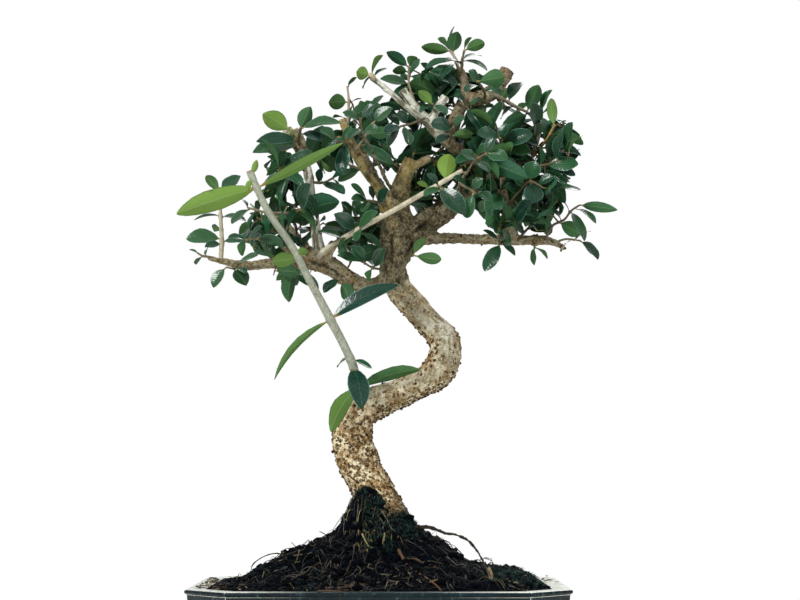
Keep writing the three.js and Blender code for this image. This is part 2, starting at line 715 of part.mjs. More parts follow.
function geometryOf(solid) {
  const mesh = solid.getMesh();
  const positions = new Float32Array(mesh.numVert * 3);
  for (let i = 0; i < mesh.numVert; i += 1) {
    positions.set(mesh.vertProperties.subarray(i * mesh.numProp, i * mesh.numProp + 3), i * 3);
  }
  const geometry = new THREE.BufferGeometry();
  geometry.setAttribute("position", new THREE.BufferAttribute(positions, 3));
  geometry.setIndex(new THREE.BufferAttribute(mesh.triVerts, 1));
  geometry.computeVertexNormals();
  return geometry;
}

function largestPiece(solid) {
  const pieces = solid.decompose();
  return pieces.reduce((best, piece) => (piece.volume() > best.volume() ? piece : best));
}

// A closed surface through rings of equal point count, with a flat cap at each end.
function loft(rings) {
  const sides = rings[0].length;
  const faces = [];
  for (let k = 0; k + 1 < rings.length; k += 1) {
    for (let i = 0; i < sides; i += 1) {
      const a = k * sides + i;
      const b = k * sides + ((i + 1) % sides);
      faces.push([a, b, b + sides], [a, b + sides, a + sides]);
    }
  }
  const last = (rings.length - 1) * sides;
  for (let i = 1; i + 1 < sides; i += 1) {
    faces.push([0, i + 1, i], [last, last + i, last + i + 1]);
  }
  return solidOf(rings.flat(), faces);
}

// Wood along a route of [x, y, z, radius] points. Its surface lies further out by grow.
function woodTube(route, sides, grow = 0, roughness = 0) {
  const random = seededRandom(route.length);
  const centres = route.map(([x, y, z]) => new THREE.Vector3(x, y, z));
  const steps = centres.slice(1).map((p, i) => p.clone().sub(centres[i]).normalize());
  const tangents = centres.map((_, i) => {
    const before = steps[Math.max(i - 1, 0)];
    const after = steps[Math.min(i, steps.length - 1)];
    return before.clone().add(after).normalize();
  });
  centres[0].addScaledVector(steps[0], -grow);
  centres[centres.length - 1].addScaledVector(steps[steps.length - 1], grow);
  const side = new THREE.Vector3(0, 1, 0);
  if (Math.abs(tangents[0].y) > 0.9) side.set(1, 0, 0);
  const rings = centres.map((centre, k) => {
    side.addScaledVector(tangents[k], -side.dot(tangents[k])).normalize();
    const up = tangents[k].clone().cross(side);
    return Array.from({ length: sides }, (_, i) => {
      const angle = (2 * Math.PI * i) / sides;
      const radius = route[k][3] * (1 + roughness * (2 * random() - 1)) + grow;
      return centre
        .clone()
        .addScaledVector(side, radius * Math.cos(angle))
        .addScaledVector(up, radius * Math.sin(angle));
    });
  });
  return loft(rings);
}

function allLimbs(grow) {
  return Object.entries(LIMBS)
    .map(([name, route]) =>
      name === "trunk"
        ? woodTube(route, TRUNK_SIDES, grow, BARK_ROUGHNESS)
        : woodTube(route, LIMB_SIDES, grow),
    )
    .reduce((wood, limb) => wood.add(limb));
}

// The stretches of a route, as straight pieces with a radius, for the clearance test.
function stretches(route, owner) {
  return route.slice(1).map((end, i) => ({
    from: new THREE.Vector3(...route[i].slice(0, 3)),
    to: new THREE.Vector3(...end.slice(0, 3)),
    radius: Math.max(route[i][3], end[3]),
    owner,
  }));
}

function nearestOn(stretch, point) {
  const along = stretch.to.clone().sub(stretch.from);
  const share = point.clone().sub(stretch.from).dot(along) / along.lengthSq();
  return stretch.from.clone().addScaledVector(along, Math.min(1, Math.max(0, share)));
}

const limbStretches = Object.values(LIMBS).flatMap((route) => stretches(route, ""));

// A twig starts on the axis of the limb next to it.
function rootedRoute(twig) {
  const start = new THREE.Vector3(...twig[0].slice(0, 3));
  const root = limbStretches
    .map((stretch) => {
      const point = nearestOn(stretch, start);
      return { point, distance: point.distanceTo(start) - stretch.radius };
    })
    .reduce((best, other) => (other.distance < best.distance ? other : best)).point;
  return root.distanceTo(start) < 0.5 ? twig : [[root.x, root.y, root.z, twig[0][3]], ...twig];
}

// The point at a share of a twig's length, and the way the twig runs there.
function placeOn(twig, share) {
  const points = twig.map(([x, y, z]) => new THREE.Vector3(x, y, z));
  const lengths = points.slice(1).map((p, i) => p.distanceTo(points[i]));
  let left = share * lengths.reduce((sum, length) => sum + length, 0);
  let k = 0;
  while (k < lengths.length - 1 && left > lengths[k]) {
    left -= lengths[k];
    k += 1;
  }
  const way = points[k + 1].clone().sub(points[k]).normalize();
  return { point: points[k].clone().addScaledVector(way, left), way };
}

// A leaf from its base to its tip. Turn is the angle of its upper face: 0 looks to the front,
// 90 looks up and 180 looks to the back.
function leafAt(base, tip, width, turn) {
  const axis = tip.clone().sub(base);
  const length = axis.length();
  axis.normalize();
  const facing = TOWARD_FRONT.clone().addScaledVector(axis, -TOWARD_FRONT.dot(axis)).normalize();
  const upward = axis.clone().cross(facing);
  if (upward.z < 0) upward.negate();
  const angle = THREE.MathUtils.degToRad(turn);
  const normal = facing.multiplyScalar(Math.cos(angle)).addScaledVector(upward, Math.sin(angle));
  return { base, axis, normal, side: axis.clone().cross(normal), length, width };
}

function leafForm(leaf) {
  return leaf.length >= LONG_LEAF ? LONG_LEAF_FORM : LEAF_FORM;
}

// A point of the leaf's middle surface: share of the length, and of the half width to one side.
function leafPoint(leaf, share, across) {
  const form = leafForm(leaf);
  const k = form.findIndex(([station]) => station >= share);
  const [s0, w0] = form[Math.max(k - 1, 0)];
  const [s1, w1] = form[k];
  const wide = s1 > s0 ? w0 + ((w1 - w0) * (share - s0)) / (s1 - s0) : w1;
  return leaf.base
    .clone()
    .addScaledVector(leaf.axis, leaf.length * share)
    .addScaledVector(leaf.normal, 4 * LEAF_ARCH * leaf.length * share * (1 - share))
    .addScaledVector(leaf.side, (across * wide * leaf.width) / 2);
}

// The points that stand for a leaf in the clearance test, the free ones without the leaf's foot.
function leafSamples(leaf) {
  const rows = Math.ceil(leaf.length / SAMPLE_STEP);
  const columns = Math.max(1, Math.ceil(leaf.width / 2 / SAMPLE_STEP));
  const samples = [];
  const free = [];
  for (let i = 1; i <= rows; i += 1) {
    const share = Math.min(1, 0.1 + (0.9 * i) / rows);
    for (let j = -columns; j <= columns; j += 1) {
      const point = leafPoint(leaf, share, j / columns);
      samples.push(point);
      if (share > 0.3) free.push(point);
    }
  }
  return { samples, free, middle: leafPoint(leaf, 0.5, 0), reach: 0.6 * leaf.length + 1 };
}

function tooNear(points, others, distance) {
  const limit = distance * distance;
  return points.some((p) => others.some((q) => p.distanceToSquared(q) < limit));
}

function isClear(leaf, owner, placed, wood) {
  const own = leafSamples(leaf);
  const crowded = placed.some((other) => {
    const near = own.middle.distanceTo(other.middle) < own.reach + other.reach + LEAF_CLEARANCE;
    if (!near) return false;
    return other.owner === owner
      ? tooNear(own.free, other.free, SPRAY_CLEARANCE)
      : tooNear(own.samples, other.samples, LEAF_CLEARANCE);
  });
  if (crowded) return false;
  return !wood.some((stretch) => {
    if (stretch.owner === owner) return false;
    const distance = stretch.radius + WOOD_CLEARANCE;
    if (nearestOn(stretch, own.middle).distanceTo(own.middle) > own.reach + distance) return false;
    return own.samples.some((p) => nearestOn(stretch, p).distanceTo(p) < distance);
  });
}

// A leaf aimed at a point by hand. Each further try turns it and moves its tip a little.
function aimedLeaf(twig, [share, x, y, z, width, turn], attempt) {
  const sway = attempt % 2 ? 1 : -1;
  const shift = Math.ceil(attempt / 2) * sway;
  const tip = new THREE.Vector3(x, y + 2 * shift, z + (attempt > 6 ? shift * 0.7 : 0));
  const turned = turn + 14 * ((attempt * 2) % 3 - 1) * Math.min(attempt, 1);
  return leafAt(placeOn(twig, share).point, tip, width, turned);
}

// One leaf of a pair on a twig. The pairs cross each other, as an olive's do.
function pairLeaf(spray, pair, sign, seed, attempt) {
  const [pairs, length, start] = spray.pairs;
  const random = seededRandom(seed * 64 + attempt);
  const share = pairs > 1 ? start + ((0.97 - start) * pair) / (pairs - 1) : 0.8;
  const { point, way } = placeOn(spray.twig, share);
  const outward = new THREE.Vector3(0, 0, 1).addScaledVector(way, -way.z).normalize();
  const around = pair * 1.57 + 0.5 + (random() - 0.5) * (0.5 + 0.15 * attempt);
  outward.applyAxisAngle(way, around).multiplyScalar(sign);
  const spread = 0.7 + 0.5 * random() - 0.25 * (pair / pairs);
  const axis = way.clone().multiplyScalar(Math.cos(spread)).addScaledVector(outward, Math.sin(spread));
  const long = length * (0.82 + 0.3 * random()) * (attempt > 8 ? 0.8 : 1);
  const tip = point.clone().addScaledVector(axis, long);
  return leafAt(point, tip, long * LEAF_WIDTH_SHARE * (0.9 + 0.25 * random()), 40 + 110 * random());
}

// Every spray's leaves, each at its first place that is clear of the wood and of the others.
function placeLeaves(sprays, wood) {
  const placed = [];
  const place = (owner, candidate) => {
    for (let attempt = 0; attempt < LEAF_TRIES; attempt += 1) {
      const leaf = candidate(attempt);
      if (isClear(leaf, owner, placed, wood)) {
        placed.push({ ...leaf, ...leafSamples(leaf), owner });
        return;
      }
    }
  };
  const entries = Object.entries(sprays);
  entries.forEach(([owner, spray]) =>
    spray.leaves.forEach((aim) => place(owner, (attempt) => aimedLeaf(spray.twig, aim, attempt))),
  );
  entries.forEach(([owner, spray], i) => {
    for (let pair = 0; pair < spray.pairs[0]; pair += 1) {
      [1, -1].forEach((sign) => {
        const seed = i * 32 + pair * 2 + (sign > 0 ? 1 : 0);
        place(owner, (attempt) => pairLeaf(spray, pair, sign, seed, attempt));
      });
    }
  });
  return placed;
}

// A leaf's blade: the same triangles on both faces, and a rim round them.
function blade(leaf) {
  const form = leafForm(leaf);
  const inner = form.slice(1, -1).map(([share]) => share);
  const outline = [
    leafPoint(leaf, 0, 0),
    ...inner.map((share) => leafPoint(leaf, share, 1)),
    leafPoint(leaf, 1, 0),
    ...inner.toReversed().map((share) => leafPoint(leaf, share, -1)),
  ];
  const count = outline.length;
  const half = LEAF_THICKNESS / 2;
  const upper = outline.map((p) => p.clone().addScaledVector(leaf.normal, half));
  const lower = outline.map((p) => p.clone().addScaledVector(leaf.normal, -half));
  const strips = [[0, 1, count - 1]];
  for (let k = 1; k < inner.length; k += 1) {
    strips.push([k, k + 1, count - k], [k + 1, count - k - 1, count - k]);
  }
  strips.push([inner.length, inner.length + 1, inner.length + 2]);
  const faces = strips.flatMap(([a, b, c]) => [[a, c, b], [a + count, b + count, c + count]]);
  for (let i = 0; i < count; i += 1) {
    const j = (i + 1) % count;
    faces.push([i, j, j + count], [i, j + count, i + count]);
  }
  const solid = solidOf([...upper, ...lower], faces);
  return solid.volume() > 0 ? solid : solidOf([...upper, ...lower], faces.map(([a, b, c]) => [a, c, b]));
}

// A rectangle about the pot's middle with its corners cut off, as eight points in turn.
function octagon(halfX, halfY, corner, z) {
  const signs = [[1, 1], [-1, 1], [-1, -1], [1, -1]];
  return signs.flatMap(([sx, sy]) => {
    const onSide = new THREE.Vector3(POT_X + sx * halfX, sy * (halfY - corner), z);
    const onEnd = new THREE.Vector3(POT_X + sx * (halfX - corner), sy * halfY, z);
    return sx === sy ? [onSide, onEnd] : [onEnd, onSide];
  });
}

// The pot's outline at a height, moved in from the rim's outer edge.
function potOutline(inset, z) {
  const corner = POT_CORNER - inset * (2 - Math.SQRT2);
  return octagon(POT_LENGTH / 2 - inset, POT_DEPTH / 2 - inset, corner, z);
}

const FLOOR_TOP = FOOT_HEIGHT + FLOOR_THICKNESS;
const LIP_BOTTOM = POT_HEIGHT - LIP_HEIGHT;

// How far the inner wall lies in from the rim's outer edge at a height.
function innerInset(z) {
  return RIM_WIDTH + (POT_TAPER * (POT_HEIGHT - z)) / (POT_HEIGHT - FLOOR_TOP);
}

// One recessed panel: a slab with round corners, laid on the wall whose foot line it is given.
function panelCutter(from, to) {
  const height = LIP_BOTTOM - FOOT_HEIGHT;
  const lean = Math.atan2(POT_TAPER, height);
  const along = to.clone().sub(from);
  const halfX = along.length() / 2 - PANEL_MARGIN;
  const halfY = height / 2 - PANEL_MARGIN;
  const shape = new THREE.Shape();
  const corners = [[1, 1, 0], [-1, 1, 0.5], [-1, -1, 1], [1, -1, 1.5]];
  corners.forEach(([sx, sy, turn]) => {
    const start = turn * Math.PI;
    const x = sx * (halfX - PANEL_CORNER);
    const y = sy * (halfY - PANEL_CORNER);
    shape.absarc(x, y, PANEL_CORNER, start, start + Math.PI / 2, false);
  });
  const slab = new THREE.ExtrudeGeometry(shape, { depth: 20, bevelEnabled: false, curveSegments: 1 });
  slab.translate(0, 0, -PANEL_DEPTH);
  slab.rotateX(Math.PI / 2 + lean);
  slab.rotateZ(Math.atan2(along.y, along.x));
  const middle = from.clone().add(to).multiplyScalar(0.5);
  slab.translate(middle.x, middle.y, (LIP_BOTTOM + FOOT_HEIGHT) / 2);
  return solidOfGeometry(slab);
}

// A low foot under a corner, cut off by the pot's own chamfer and leaning with its walls.
function foot(sx, sy) {
  const block = new THREE.BoxGeometry(FOOT_LENGTH, FOOT_DEPTH, FOOT_HEIGHT + 2);
  const inset = LIP_OVERHANG + POT_TAPER + FOOT_INSET;
  const x = POT_X + sx * (POT_LENGTH / 2 - inset - FOOT_LENGTH / 2);
  const y = sy * (POT_DEPTH / 2 - inset - FOOT_DEPTH / 2);
  block.translate(x, y, (FOOT_HEIGHT + 2) / 2);
  const outline = loft([potOutline(inset + 2, 0), potOutline(inset, FOOT_HEIGHT + 2)]);
  return solidOfGeometry(block).intersect(outline);
}

function drainX(sign) {
  return POT_X + (sign * DRAIN_SPACING) / 2;
}

function makePot() {
  const wallFoot = LIP_OVERHANG + POT_TAPER;
  let pot = loft([
    potOutline(wallFoot + 2, FOOT_HEIGHT - 2),
    potOutline(wallFoot, FOOT_HEIGHT),
    potOutline(LIP_OVERHANG, LIP_BOTTOM),
    potOutline(0, LIP_BOTTOM + 1),
    potOutline(0, POT_HEIGHT - 0.8),
    potOutline(0.8, POT_HEIGHT),
  ]);
  const hollow = loft([
    potOutline(innerInset(FLOOR_TOP), FLOOR_TOP),
    potOutline(innerInset(POT_HEIGHT + 5), POT_HEIGHT + 5),
  ]);
  pot = pot.subtract(hollow);
  const wallMiddle = potOutline(LIP_OVERHANG + POT_TAPER / 2, 0);
  wallMiddle.forEach((corner, i) => {
    pot = pot.subtract(panelCutter(corner, wallMiddle[(i + 1) % wallMiddle.length]));
  });
  [-1, 1].forEach((sx) => {
    [-1, 1].forEach((sy) => {
      pot = pot.add(foot(sx, sy));
    });
    const hole = new THREE.CylinderGeometry(DRAIN_RADIUS, DRAIN_RADIUS, 4 * FLOOR_THICKNESS, 14);
    hole.rotateX(Math.PI / 2);
    hole.translate(drainX(sx), 0, FLOOR_TOP);
    pot = pot.subtract(solidOfGeometry(hole));
  });
  return pot;
}

// A plain square grid over a drain hole.
function makeScreen(sign) {
  const pitch = (SCREEN_SIZE - SCREEN_BAR) / SCREEN_HOLES;
  const mesh = pitch - SCREEN_BAR;
  let screen = solidOfGeometry(new THREE.BoxGeometry(SCREEN_SIZE, SCREEN_SIZE, SCREEN_THICKNESS));
  for (let i = 0; i < SCREEN_HOLES * SCREEN_HOLES; i += 1) {
    const hole = new THREE.BoxGeometry(mesh, mesh, 2 * SCREEN_THICKNESS);
    const x = pitch * ((i % SCREEN_HOLES) - (SCREEN_HOLES - 1) / 2);
    const y = pitch * (Math.floor(i / SCREEN_HOLES) - (SCREEN_HOLES - 1) / 2);
    hole.translate(x, y, 0);
    screen = screen.subtract(solidOfGeometry(hole));
  }
  return screen.translate(drainX(sign), 0, FLOOR_TOP + GAP + SCREEN_THICKNESS / 2);
}

function moundHeight(profile, share) {
  const k = Math.max(1, profile.findIndex(([s]) => s >= share));
  const [s0, z0] = profile[k - 1];
  const [s1, z1] = profile[k];
  return z0 + ((z1 - z0) * (share - s0)) / (s1 - s0);
}

// The soil fills the pot and rises to a mound at the trunk.
function makeSoil() {
  const random = seededRandom(7);
  const corners = potOutline(innerInset(SOIL_EDGE) + GAP, SOIL_EDGE);
  const edge = corners.flatMap((corner, i) => {
    const next = corners[(i + 1) % corners.length];
    const steps = Math.ceil(corner.distanceTo(next) / SOIL_STEP);
    return Array.from({ length: steps }, (_, k) => corner.clone().lerp(next, k / steps));
  });
  const shrink = innerInset(FLOOR_TOP) - innerInset(SOIL_EDGE);
  const scaleX = 1 - shrink / (POT_LENGTH / 2 - innerInset(SOIL_EDGE) - GAP);
  const scaleY = 1 - shrink / (POT_DEPTH / 2 - innerInset(SOIL_EDGE) - GAP);
  const bottom = edge.map((p) => new THREE.Vector3(
    POT_X + (p.x - POT_X) * scaleX,
    p.y * scaleY,
    FLOOR_TOP + GAP,
  ));
  const rings = MOUND_RINGS.toReversed().map((share) => edge.map((p) => {
    const way = new THREE.Vector2(p.x, p.y).sub(MOUND_FOOT);
    const right = (1 + way.x / way.length()) / 2;
    const height = moundHeight(MOUND_LEFT, share) * (1 - right) + moundHeight(MOUND_RIGHT, share) * right;
    const rough = share < 1 ? SOIL_ROUGHNESS * (2 * random() - 1) : 0;
    return new THREE.Vector3(MOUND_FOOT.x + way.x * share, MOUND_FOOT.y + way.y * share, height + rough);
  }));
  let soil = loft([bottom, ...rings]);
  [-1, 1].forEach((sign) => {
    const size = SCREEN_SIZE + 2 * GAP;
    const room = new THREE.BoxGeometry(size, size, 2 * (SCREEN_THICKNESS + 2 * GAP));
    room.translate(drainX(sign), 0, FLOOR_TOP);
    soil = soil.subtract(solidOfGeometry(room));
  });
  return largestPiece(soil.subtract(allLimbs(GAP + 0.1)));
}

const sprays = Object.fromEntries(
  Object.entries(SPRAYS).map(([name, spray]) => [name, { ...spray, route: rootedRoute(spray.twig) }]),
);
const wood = [
  ...limbStretches,
  ...Object.entries(sprays).flatMap(([name, spray]) => stretches(spray.route, name)),
];
const leaves = placeLeaves(sprays, wood);
const limbRoom = allLimbs(GAP);

function makeSpray(name) {
  const sides = YOUNG_SHOOTS.includes(name) ? SHOOT_SIDES : TWIG_SIDES;
  const twig = woodTube(sprays[name].route, sides);
  const joined = leaves
    .filter((leaf) => leaf.owner === name)
    .reduce((spray, leaf) => spray.add(blade(leaf)), twig);
  return largestPiece(joined.subtract(limbRoom));
}

const bonsai = new THREE.Group();

function addNode(name, solid, look) {
  const mesh = new THREE.Mesh(geometryOf(solid), new THREE.MeshStandardMaterial(look));
  mesh.name = name;
  bonsai.add(mesh);
}

addNode("pot", makePot(), { color: 0x24444c, roughness: 0.2 });
addNode("drain_screen_left", makeScreen(-1), { color: 0x262626, roughness: 0.6 });
addNode("drain_screen_right", makeScreen(1), { color: 0x262626, roughness: 0.6 });
addNode("soil", makeSoil(), { color: 0x17130f, roughness: 1 });
addNode("trunk", allLimbs(0), BARK);
Object.keys(sprays).forEach((name, i) => {
  const green = YOUNG_SHOOTS.includes(name) ? YOUNG_GREEN : LEAF_GREEN[i % LEAF_GREEN.length];
  addNode(`spray_${name}`, makeSpray(name), { color: green, roughness: 0.35 });
});

export default bonsai;
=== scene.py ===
"""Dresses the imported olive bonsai: bark, foliage, soil with roots and moss, glazed pot and stage.

Lengths are millimetres in this file and become metres where a mesh is made.
"""

import math
from functools import cache, partial

import bmesh
import bpy
import numpy as np
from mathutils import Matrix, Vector, noise


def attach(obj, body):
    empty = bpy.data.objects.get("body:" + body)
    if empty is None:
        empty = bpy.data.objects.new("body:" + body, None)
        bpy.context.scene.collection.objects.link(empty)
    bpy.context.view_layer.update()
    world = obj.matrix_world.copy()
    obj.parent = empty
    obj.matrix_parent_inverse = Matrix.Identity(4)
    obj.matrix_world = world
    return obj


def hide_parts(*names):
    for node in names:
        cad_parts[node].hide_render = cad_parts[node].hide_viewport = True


bl_info = {
    "name": "Olive bonsai",
    "version": (1, 0, 0),
    "blender": (4, 5, 0),
    "location": "3D View > Sidebar > Bonsai",
    "description": "Bark, foliage, soil, glazed pot and stage of a potted olive bonsai",
    "category": "Add Mesh",
}

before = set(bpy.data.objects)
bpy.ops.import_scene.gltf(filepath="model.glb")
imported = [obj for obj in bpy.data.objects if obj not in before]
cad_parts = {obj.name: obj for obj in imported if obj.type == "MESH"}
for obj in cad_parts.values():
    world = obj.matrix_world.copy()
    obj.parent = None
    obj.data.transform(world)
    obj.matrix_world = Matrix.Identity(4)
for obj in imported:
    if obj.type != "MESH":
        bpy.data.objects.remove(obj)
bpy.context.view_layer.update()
MM = 0.001
FRONT = np.array([0.0, -1.0, 0.0])
UP = np.array([0.0, 0.0, 1.0])

# The limbs' routes, the same as the solids': x, y, z and radius at each bend.
LIMBS = {
    "trunk": ((-10, 0, 86, 15.4), (-13, 0, 102, 19.3), (-14, 0, 116, 20), (-15, 1, 124, 16.2), (-17, 2, 132, 13.9),
        (-21, 3, 141, 13.3), (-27, 4, 153, 13.3), (-31, 5, 165, 12.7), (-31, 5, 175, 12.7), (-27, 4, 184, 12.1),
        (-19, 2, 190, 10.7), (-7, 0, 194, 9.7), (10, -3, 202, 9.4), (21, -5, 208, 10.4), (28, -7, 218, 10.7),
        (29, -7, 229, 10.4), (24, -6, 237, 9.1), (18, -5, 243, 8.4), (8, -3, 255, 8.7), (0, -1, 264, 9.1),
        (-4, 0, 273, 8.8), (-5, 0, 281, 8.8), (-2, 0, 290, 10.2), (-1, 0, 299, 11.5), (-1, 0, 309, 10.2),
        (-2, -2, 320, 8.5), (1, -8, 333, 5.9), (5, -10, 343, 5.2), (8, -10, 349, 4.9)),
    "left_branch": ((-5, 0, 274, 6.2), (-18, -4, 266, 5.5), (-32, -8, 270, 5.5), (-44, -12, 278, 6.2),
        (-53, -14, 282, 7.1), (-65, -14, 282, 5.2), (-81, -11, 281, 3.6), (-98, -12, 279, 2.9), (-113, -18, 281, 2.2),
        (-123, -22, 283, 1.5)),
    "left_riser": ((-52, -14, 285, 4.5), (-54, -10, 299, 3.6), (-58, -6, 320, 3.3), (-60, -4, 340, 3),
        (-66, -2, 357, 3.3), (-71, 0, 365, 3.6), (-75, 2, 372, 3.6)),
    "golden_limb": ((-8, -3, 317, 5.2), (-14, -8, 329, 3.3), (-22, -10, 341, 2.9), (-28, -10, 352, 3.6),
        (-33, -10, 363, 2.9), (-38, -10, 376, 2.9)),
    "crown_stub": ((5, -10, 341, 3.3), (12, -12, 346, 2.6), (20, -12, 350, 2.3)),
    "right_limb": ((1, 0, 299, 8.5), (18, 3, 310, 7.9), (33, 4, 321, 7.3), (46, 4, 333, 5.9), (58, 4, 341, 4.6),
        (72, 8, 347, 3.3), (84, 10, 353, 2.7), (89, 10, 358, 2.3)),
    "diagonal_limb": ((57, 4, 341, 4.3), (46, 0, 351, 4), (34, -6, 359, 3.9), (24, -10, 367, 3.9), (18, -12, 374, 3.7),
        (10, -17, 382, 2.9), (1, -21, 393, 2.9)),
    "pale_stub": ((18, -13, 373, 2.4), (3, -24, 382, 2.1), (-10, -28, 393, 1.9), (-19, -30, 399, 1.8)),
    "short_stub": ((20, -12, 372, 2.9), (24, -15, 381, 2.7), (30, -17, 390, 2.7)),
    "top_limb": ((32, -5, 360, 3.9), (34, 0, 372, 4.3), (39, 4, 384, 4.3), (43, 6, 396, 3.3), (42, 8, 408, 3),
        (39, 8, 415, 2.4)),
    "top_knob": ((41, 6, 392, 4), (52, 8, 394, 4.7), (61, 10, 398, 5.3), (67, 10, 405, 5), (72, 10, 414, 5.4)),
    "lower_right": ((3, 4, 299, 5.3), (30, 2, 299, 3.6), (52, 0, 298, 3.3), (75, -2, 297, 3.3), (92, -2, 297, 3.3),
        (100, -2, 296, 2.6), (108, -2, 291, 1.4)),
    "right_riser": ((75, -2, 297, 3.3), (73, -4, 304, 3.9), (71, -6, 312, 3.3), (69, -8, 320, 2.9),
        (67, -10, 338, 1.7)),
    "back_left_limb": ((-3, 6, 313, 5.3), (-10, 28, 332, 3.7), (-19, 48, 351, 2.9), (-26, 60, 369, 2.1)),
    "back_right_limb": ((26, 8, 317, 5.3), (39, 34, 336, 3.7), (53, 56, 358, 2.9), (63, 68, 378, 2.1)),
    "far_left_limb": ((-53, -10, 283, 4.5), (-63, 16, 295, 2.9), (-75, 36, 311, 2.3), (-85, 50, 327, 1.8)),
    "front_right_limb": ((18, -4, 308, 4.6), (27, -26, 312, 3), (35, -44, 321, 2.3), (41, -56, 333, 1.8)),
    "front_left_limb": ((-1, -6, 323, 3.9), (-8, -26, 331, 2.8), (-15, -42, 343, 2.2), (-21, -52, 354, 1.6)),
    "near_left_limb": ((-62, -18, 282, 3.2), (-72, -38, 286, 2.3), (-84, -52, 292, 1.6)),
    "arching_root": ((-10, -6, 109, 4.5), (8, -16, 111, 2.3), (20, -24, 111, 1.8), (28, -29, 108, 1.6),
        (35, -33, 107, 1.6), (42, -38, 104, 1.5), (48, -44, 97, 1.4), (52, -52, 89, 1.3), (55, -60, 81, 1.2),
        (55, -61, 77, 1)),
    "left_root": ((-18, 2, 110, 11.6), (-35, 0, 102, 6.4), (-53, -4, 92, 3.2)),
    "right_root": ((-9, 2, 110, 11.6), (6, 4, 101, 6.5), (23, 8, 91, 3.2)),
}
